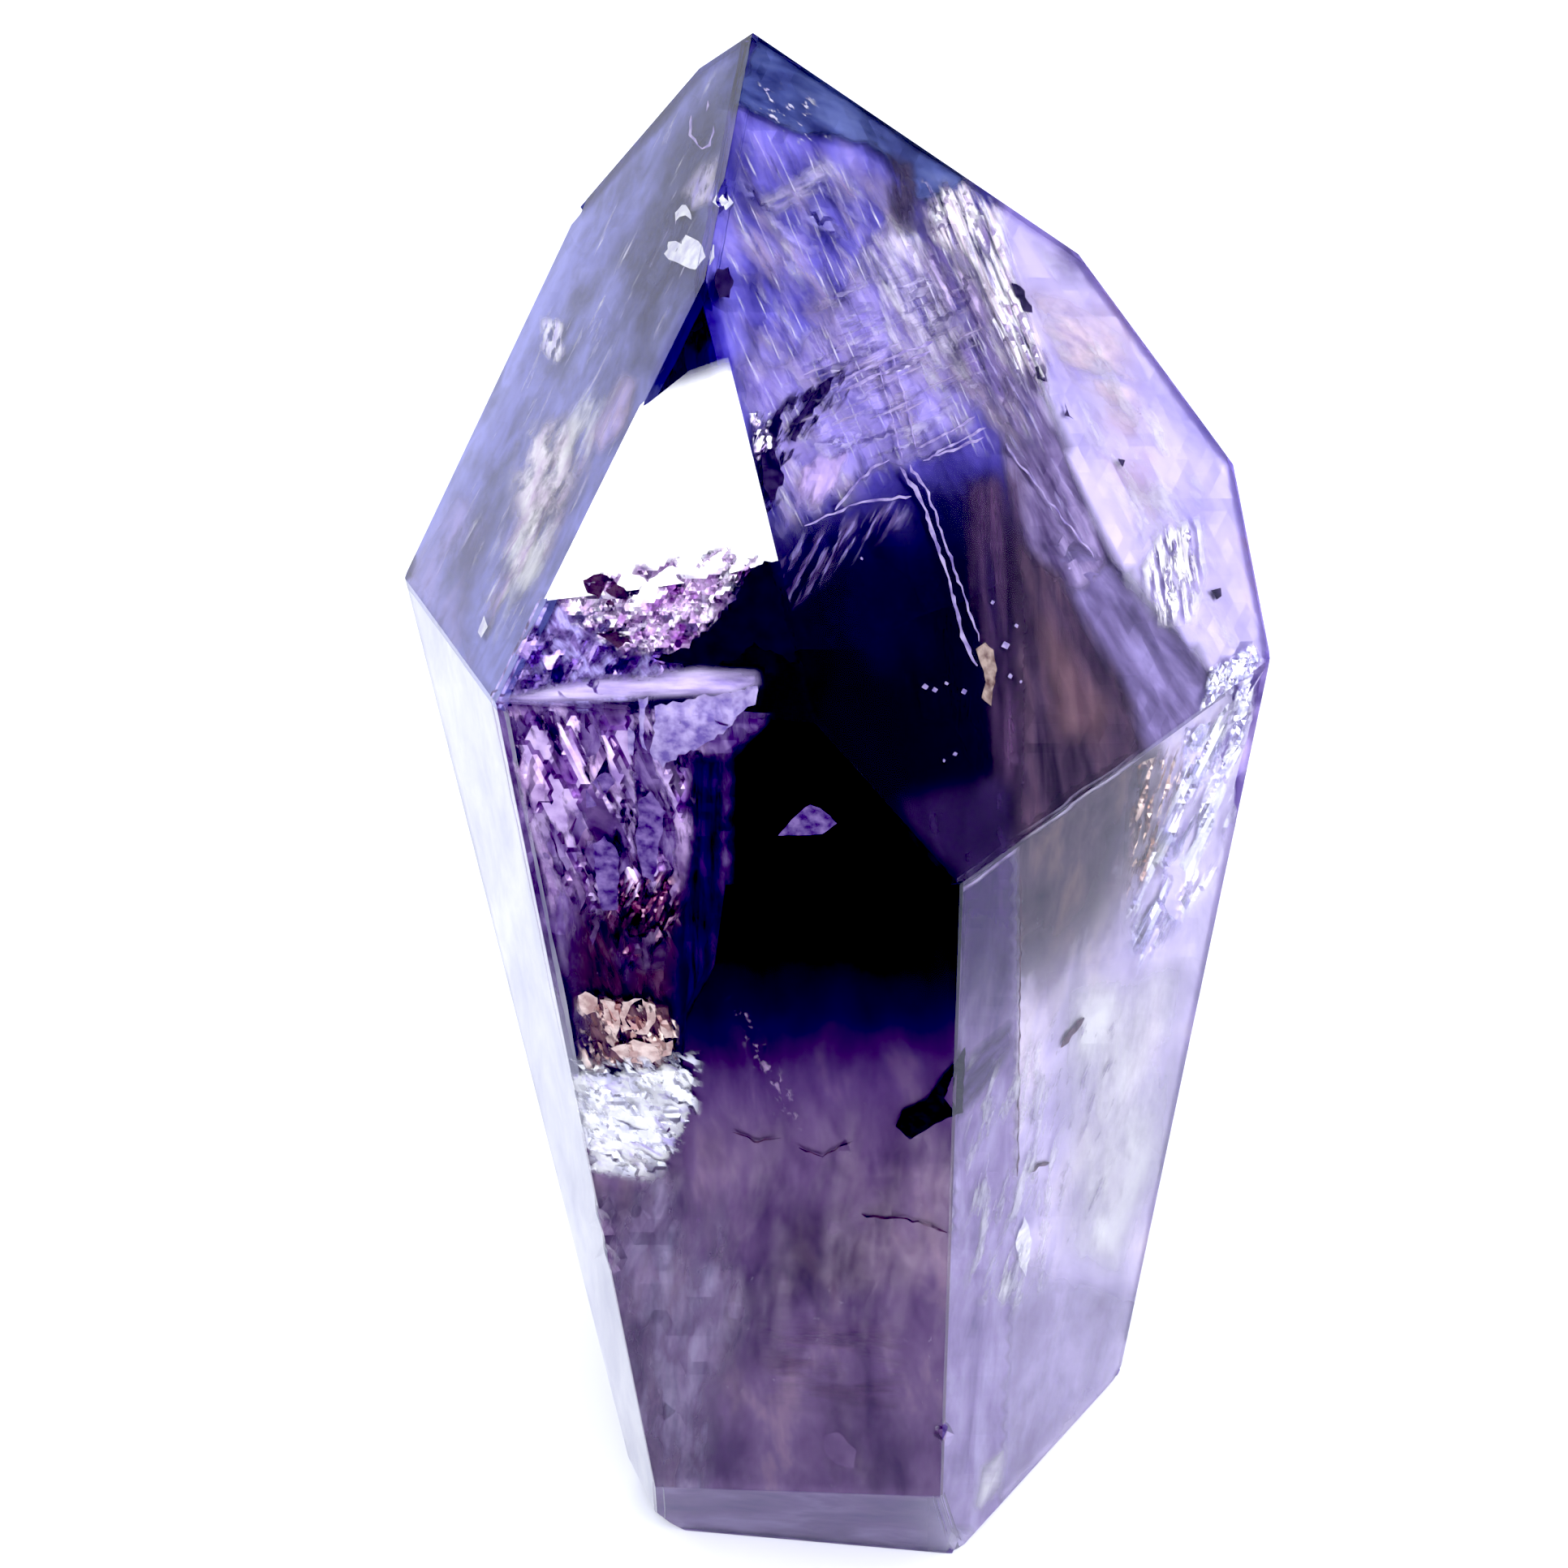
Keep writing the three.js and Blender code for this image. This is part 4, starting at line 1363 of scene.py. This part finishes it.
def add_phantom_lines():
    drawn = behind("tip_right", add_drawn)
    add_threads("phantom_lines", "tip_right",
                [(5, [(1108, 576), (1136, 615), (1164, 698), (1187, 785), (1203, 821)]),
                 (3.5, [(1120, 572), (1144, 607), (1171, 686), (1207, 789)]),
                 (3, [(1096, 568), (1073, 578), (1049, 603), (1030, 630)]),
                 (3.5, [(1136, 568), (1211, 540)]),
                 (3, [(1128, 556), (1200, 514)]),
                 (3, [(1150, 560), (1214, 527)]),
                 (5, [(1027, 475), (1070, 452), (1150, 420)]),
                 (4, [(1030, 484), (1090, 458), (1146, 432)]),
                 (3, [(990, 647), (1061, 619), (1124, 611)]),
                 (2.5, [(1239, 548), (1294, 619), (1349, 686)]),
                 (2, [(1080, 440), (1096, 500), (1112, 566)]),
                 (2, [(1100, 436), (1116, 496), (1130, 556)])],
                0.6, SHARDS["lilac"], wobble=1.6, seed=46)
    drawn("tan_flake",
          [[(1203, 800), (1214, 792), (1226, 802), (1227, 830), (1220, 868), (1210, 860), (1214, 832),
            (1206, 816)]],
          0.55, SHARDS["tan"], jag=2.0, seed=47)
    drawn("dark_marks",
          [[(974, 540), (984, 512), (1010, 474), (1028, 464), (1018, 486), (996, 516), (980, 544)],
           [(939, 560), (948, 530), (960, 502), (964, 520), (954, 556), (966, 590), (950, 620),
            (940, 590)],
           [(1494, 726), (1502, 724), (1505, 733), (1498, 738)],
           [(1378, 567), (1385, 566), (1386, 574), (1380, 575)],
           [(882, 332), (898, 330), (905, 346), (898, 366), (886, 368), (880, 350)],
           [(1246, 350), (1258, 352), (1272, 386), (1262, 384)],
           [(1276, 452), (1288, 450), (1290, 470), (1280, 468)],
           [(1312, 494), (1318, 510), (1324, 516), (1314, 512)]],
          0.5, SHARDS["dusk"], jag=2.5, seed=53)
    # Painted sparkles: a pale matte flake round each point of SPARKS.
    drawn("sparks", [spark(*place) for place in SPARKS], 0.6, SHARDS["lilac"], jag=0.6, seed=57)


def add_base_and_left():
    add_veil("bevel_haze", "bevel", 0.95,
             [(780, 1820), (1190, 1835), (1240, 1880), (1190, 1930), (820, 1920)],
             [(0.17, 0.12, 0.26), (0.24, 0.17, 0.34), (0.36, 0.28, 0.5)], 4, (180, 30), opacity=1.0,
             gap=(-0.3, 0.0), step=12, feather=0, wave=0.05)
    add_veil("bevel_glow", "bevel", 0.85,
             [(1080, 1840), (1190, 1835), (1240, 1880), (1190, 1930), (1060, 1920)],
             [(0.5, 0.44, 0.66), (0.7, 0.62, 0.86)], 4, (120, 40), opacity=0.9, gap=(0.0, 0.3), step=12,
             fades=[((1100, 1880), (1200, 1880))], feather=0, wave=0.05)
    add_veil("left_haze", "left", 1.0,
             [(480, 700), (620, 860), (820, 1840), (810, 1900), (760, 1800), (540, 950)],
             [(0.6, 0.6, 0.72), WHITE], 80, (160, 30), opacity=0.9, gap=(0.0, 0.3), step=14, feather=0,
             wave=0.1)


def add_far_side(face, top, tones, smoke, seed):
    """The hazy lower part and the darker upper part behind a long face at the back."""
    veil = behind(face, add_veil)
    edge = 500
    whole = [(-edge, -900), (edge, -900), (edge, 900), (-edge, 900)]
    veil("haze", 1.4, whole,
         tones, 92, (240, 90), opacity=0.97, gap=(-0.2, 0.2), step=24, fades=[((0, top), (20, top + 520))],
         feather=0, wave=0.2, seed=seed)
    veil("smoke", 1.7, [(-edge, -900), (edge, -900), (edge, top + 460), (-edge, top + 380)],
         smoke, 80, (200, 60), opacity=0.9, gap=(0.2, 0.6), step=24, feather=0, wave=0.2, seed=seed + 1)
    veil("wisps", 1.0, [(-200, top), (180, top - 40), (160, 560), (-180, 600)],
         [MILK, WHITE], 84, (110, 18), opacity=0.75, gap=(0.52, 0.66), step=24, feather=70, seed=seed + 2)
    veil("dust", 0.7, whole,
         [LILAC, WHITE], 90, (10, 8), opacity=0.5, gap=(0.64, 0.72), step=40, feather=0, seed=seed + 3)


def add_far_tip(face, tones, seed):
    """The streaked haze behind a face of the tip at the back."""
    veil = behind(face, add_veil)
    whole = [(-500, -500), (500, -500), (500, 500), (-500, 500)]
    veil("haze", 1.3, whole,
         tones, 70, (170, 50), opacity=0.96, gap=(-0.2, 0.2), step=20, feather=0, wave=0.15, seed=seed)
    veil("fibres", 0.8, whole,
         [LAVENDER, WHITE], 68, (100, 9), opacity=0.7, gap=(0.56, 0.68), step=24, feather=0, seed=seed + 1)
    veil("clouds", 1.0, whole,
         [SLATE, VIOLET], 74, (90, 50), opacity=0.8, gap=(0.46, 0.62), step=20, feather=0, seed=seed + 2)


def add_far_faces():
    low = [MAUVE, (0.34, 0.27, 0.52), (0.46, 0.39, 0.66), MILK]
    add_far_side("far_left", -420, low, [DEEP_VIOLET, VIOLET, MAUVE], 60)
    low_back = [VIOLET, (0.34, 0.27, 0.54), MAUVE, (0.46, 0.39, 0.68)]
    add_far_side("far_back", -380, low_back, [DEEP_VIOLET, VIOLET, PERIWINKLE], 64)
    add_far_side("far_right", -460, low, [DUSK, VIOLET, MAUVE], 68)
    add_far_tip("tip_back", [SLATE, BLUE_GREY, LAVENDER], 72)
    add_far_tip("tip_far_left", [BLUE_GREY, PALE_BLUE, LAVENDER], 75)
    add_far_tip("shoulder_left", [BLUE_GREY, PALE_BLUE, MILK], 78)
    add_far_tip("tip_far_right", [MAUVE, LAVENDER, LILAC], 81)
    add_fracture("far_left_feather", "far_left", 0.9,
                 [(-180, -560), (60, -600), (140, -420), (20, -240), (-120, -320)],
                 (0.3, 0.22, 0.55), (0.85, 0.8, 0.95), (150, 50), 70, slope=0.34, relief=0.06,
                 roughness=0.3, step=9, gap=(0.44, 0.5), feather=30, seed=84)
    add_fracture("far_back_feather", "far_back", 0.9,
                 [(-170, -420), (-40, -520), (60, -380), (20, -120), (-90, 20)],
                 (0.28, 0.2, 0.5), (0.85, 0.78, 0.95), (170, 50), 84, slope=0.34, relief=0.06,
                 roughness=0.3, step=9, gap=(0.44, 0.5), feather=30, seed=85)
    add_fracture("far_right_feather", "far_right", 0.9,
                 [(-80, -500), (60, -520), (90, -300), (0, -140), (-70, -260)],
                 (0.34, 0.24, 0.5), (0.9, 0.8, 0.9), (150, 44), 80, slope=0.34, relief=0.06, roughness=0.3,
                 step=9, gap=(0.44, 0.5), feather=30, seed=86)
    add_fracture("tip_back_feather", "tip_back", 0.8,
                 [(-120, 60), (0, -120), (80, -60), (60, 120), (-40, 200)],
                 (0.4, 0.34, 0.7), (0.9, 0.88, 1.0), (120, 34), 64, slope=0.34, relief=0.06, roughness=0.3,
                 step=8, gap=(0.44, 0.5), feather=24, seed=87)


# The crystal


EDGE_BEVEL = 0.12 * MM
LEAST_CORNER = math.radians(5)


def polished_edges(shape):
    """The edges where two large facets meet."""
    edges = []
    for edge in shape.edges:
        if len(edge.link_faces) == 2 and all(face.calc_area() > LARGE_FACE for face in edge.link_faces):
            if edge.calc_face_angle(0) > LEAST_CORNER:
                edges.append(edge)
    return edges


def add_crystal():
    """The crystal itself, with its facets whole and the edges between them slightly worn."""
    mesh = crystal_cad.data.copy()
    mesh.name = "crystal_polished"
    shape = bmesh.new()
    shape.from_mesh(mesh)
    bmesh.ops.remove_doubles(shape, verts=shape.verts, dist=1e-7)
    bmesh.ops.dissolve_limit(shape, angle_limit=math.radians(0.2), verts=shape.verts, edges=shape.edges)
    bmesh.ops.bevel(
        shape, geom=polished_edges(shape), offset=EDGE_BEVEL, segments=2, profile=0.5, affect="EDGES",
        clamp_overlap=True,
    )
    for vert in shape.verts:
        vert.co = pushed_in(vert.co, box_planes(*cad_box), 0.0)
    shape.to_mesh(mesh)
    shape.free()
    mesh.materials.clear()
    mesh.materials.append(crystal_material())
    crystal = bpy.data.objects.new("crystal_polished", mesh)
    scene.collection.objects.link(crystal)
    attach(crystal, "root")
    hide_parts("crystal")
    return crystal


# Stage

FLOOR_DROP = 0.05 * MM
FLOOR_SIDE = 4.0


def add_floor():
    mesh = bpy.data.meshes.new("floor")
    half = FLOOR_SIDE / 2
    corners = [(x * half, y * half, -FLOOR_DROP) for x, y in ((-1, -1), (1, -1), (1, 1), (-1, 1))]
    mesh.from_pydata(corners, [], [(0, 1, 2, 3)])
    floor = bpy.data.objects.new("floor", mesh)
    scene.collection.objects.link(floor)
    material, nodes, links, surface = new_material("floor")
    set_inputs(surface, {"Base Color": (0.68, 0.68, 0.71, 1), "Roughness": 0.6, "Specular IOR Level": 0.2})
    mesh.materials.append(material)


# The tent's colours from straight below to straight above.
TENT = [(0.0, (1.5, 1.5, 1.5)), (0.5, (1.7, 1.7, 1.7)), (0.72, (1.3, 1.33, 1.4)), (1.0, (0.8, 0.85, 1.0))]
# The middle of the large light in front, and how much brighter than the tent it is.
FRONT_LIGHT = Vector((0.35, -0.76, 0.50)).normalized()
FRONT_GAIN = 2.4


def set_world():
    """A white tent, brighter below than above, with a large soft light in front."""
    world = bpy.data.worlds.new("world")
    scene.world = world
    world.use_nodes = True
    nodes = world.node_tree.nodes
    links = world.node_tree.links
    place = add_node(nodes, "TexCoord")
    parts = add_node(nodes, "SeparateXYZ")
    height = add_node(nodes, "MapRange", {"From Min": -1, "From Max": 1})
    links.new(place.outputs["Generated"], parts.inputs[0])
    links.new(parts.outputs["Z"], height.inputs["Value"])
    tent = ramped(nodes, links, height.outputs[0], TENT)
    facing = add_node(nodes, "VectorMath", {1: FRONT_LIGHT}, operation="DOT_PRODUCT")
    lamp = add_node(
        nodes, "MapRange", {"From Min": 0.25, "From Max": 0.95, "To Min": 1, "To Max": FRONT_GAIN},
        interpolation_type="SMOOTHSTEP",
    )
    links.new(place.outputs["Generated"], facing.inputs[0])
    links.new(facing.outputs["Value"], lamp.inputs["Value"])
    links.new(tent, nodes["Background"].inputs["Color"])
    links.new(lamp.outputs[0], nodes["Background"].inputs["Strength"])
    # Rays aimed at the tent from inside would all end at the quartz, so none are aimed.
    world.cycles.sampling_method = "NONE"


# How often light may bounce inside the quartz and pass its veils.
BOUNCES = {
    "max_bounces": 26,
    "transmission_bounces": 26,
    "glossy_bounces": 8,
    "diffuse_bounces": 2,
    "transparent_max_bounces": 64,
}


def set_picture():
    settings = scene.view_settings
    settings.view_transform = "Standard"
    settings.use_curve_mapping = True
    settings.exposure = 0.42
    settings.curve_mapping.black_level = (0.05, 0.05, 0.045)
    settings.curve_mapping.white_level = (0.95, 0.95, 0.95)
    settings.curve_mapping.update()
    for kind, bounces in BOUNCES.items():
        setattr(scene.cycles, kind, bounces)


add_camera()
add_crystal()
add_core()
add_tip_zones()
add_right_zones()
add_front_zones()
add_left_tip()
add_front_tip()
add_front_flakes()
add_front_patch()
add_front_core_details()
add_front_haze()
add_right()
add_right_tip_veils()
add_right_tip_fibres()
add_right_tip_feathers()
add_phantom_lines()
add_base_and_left()
add_far_faces()
add_floor()
set_world()
set_picture()
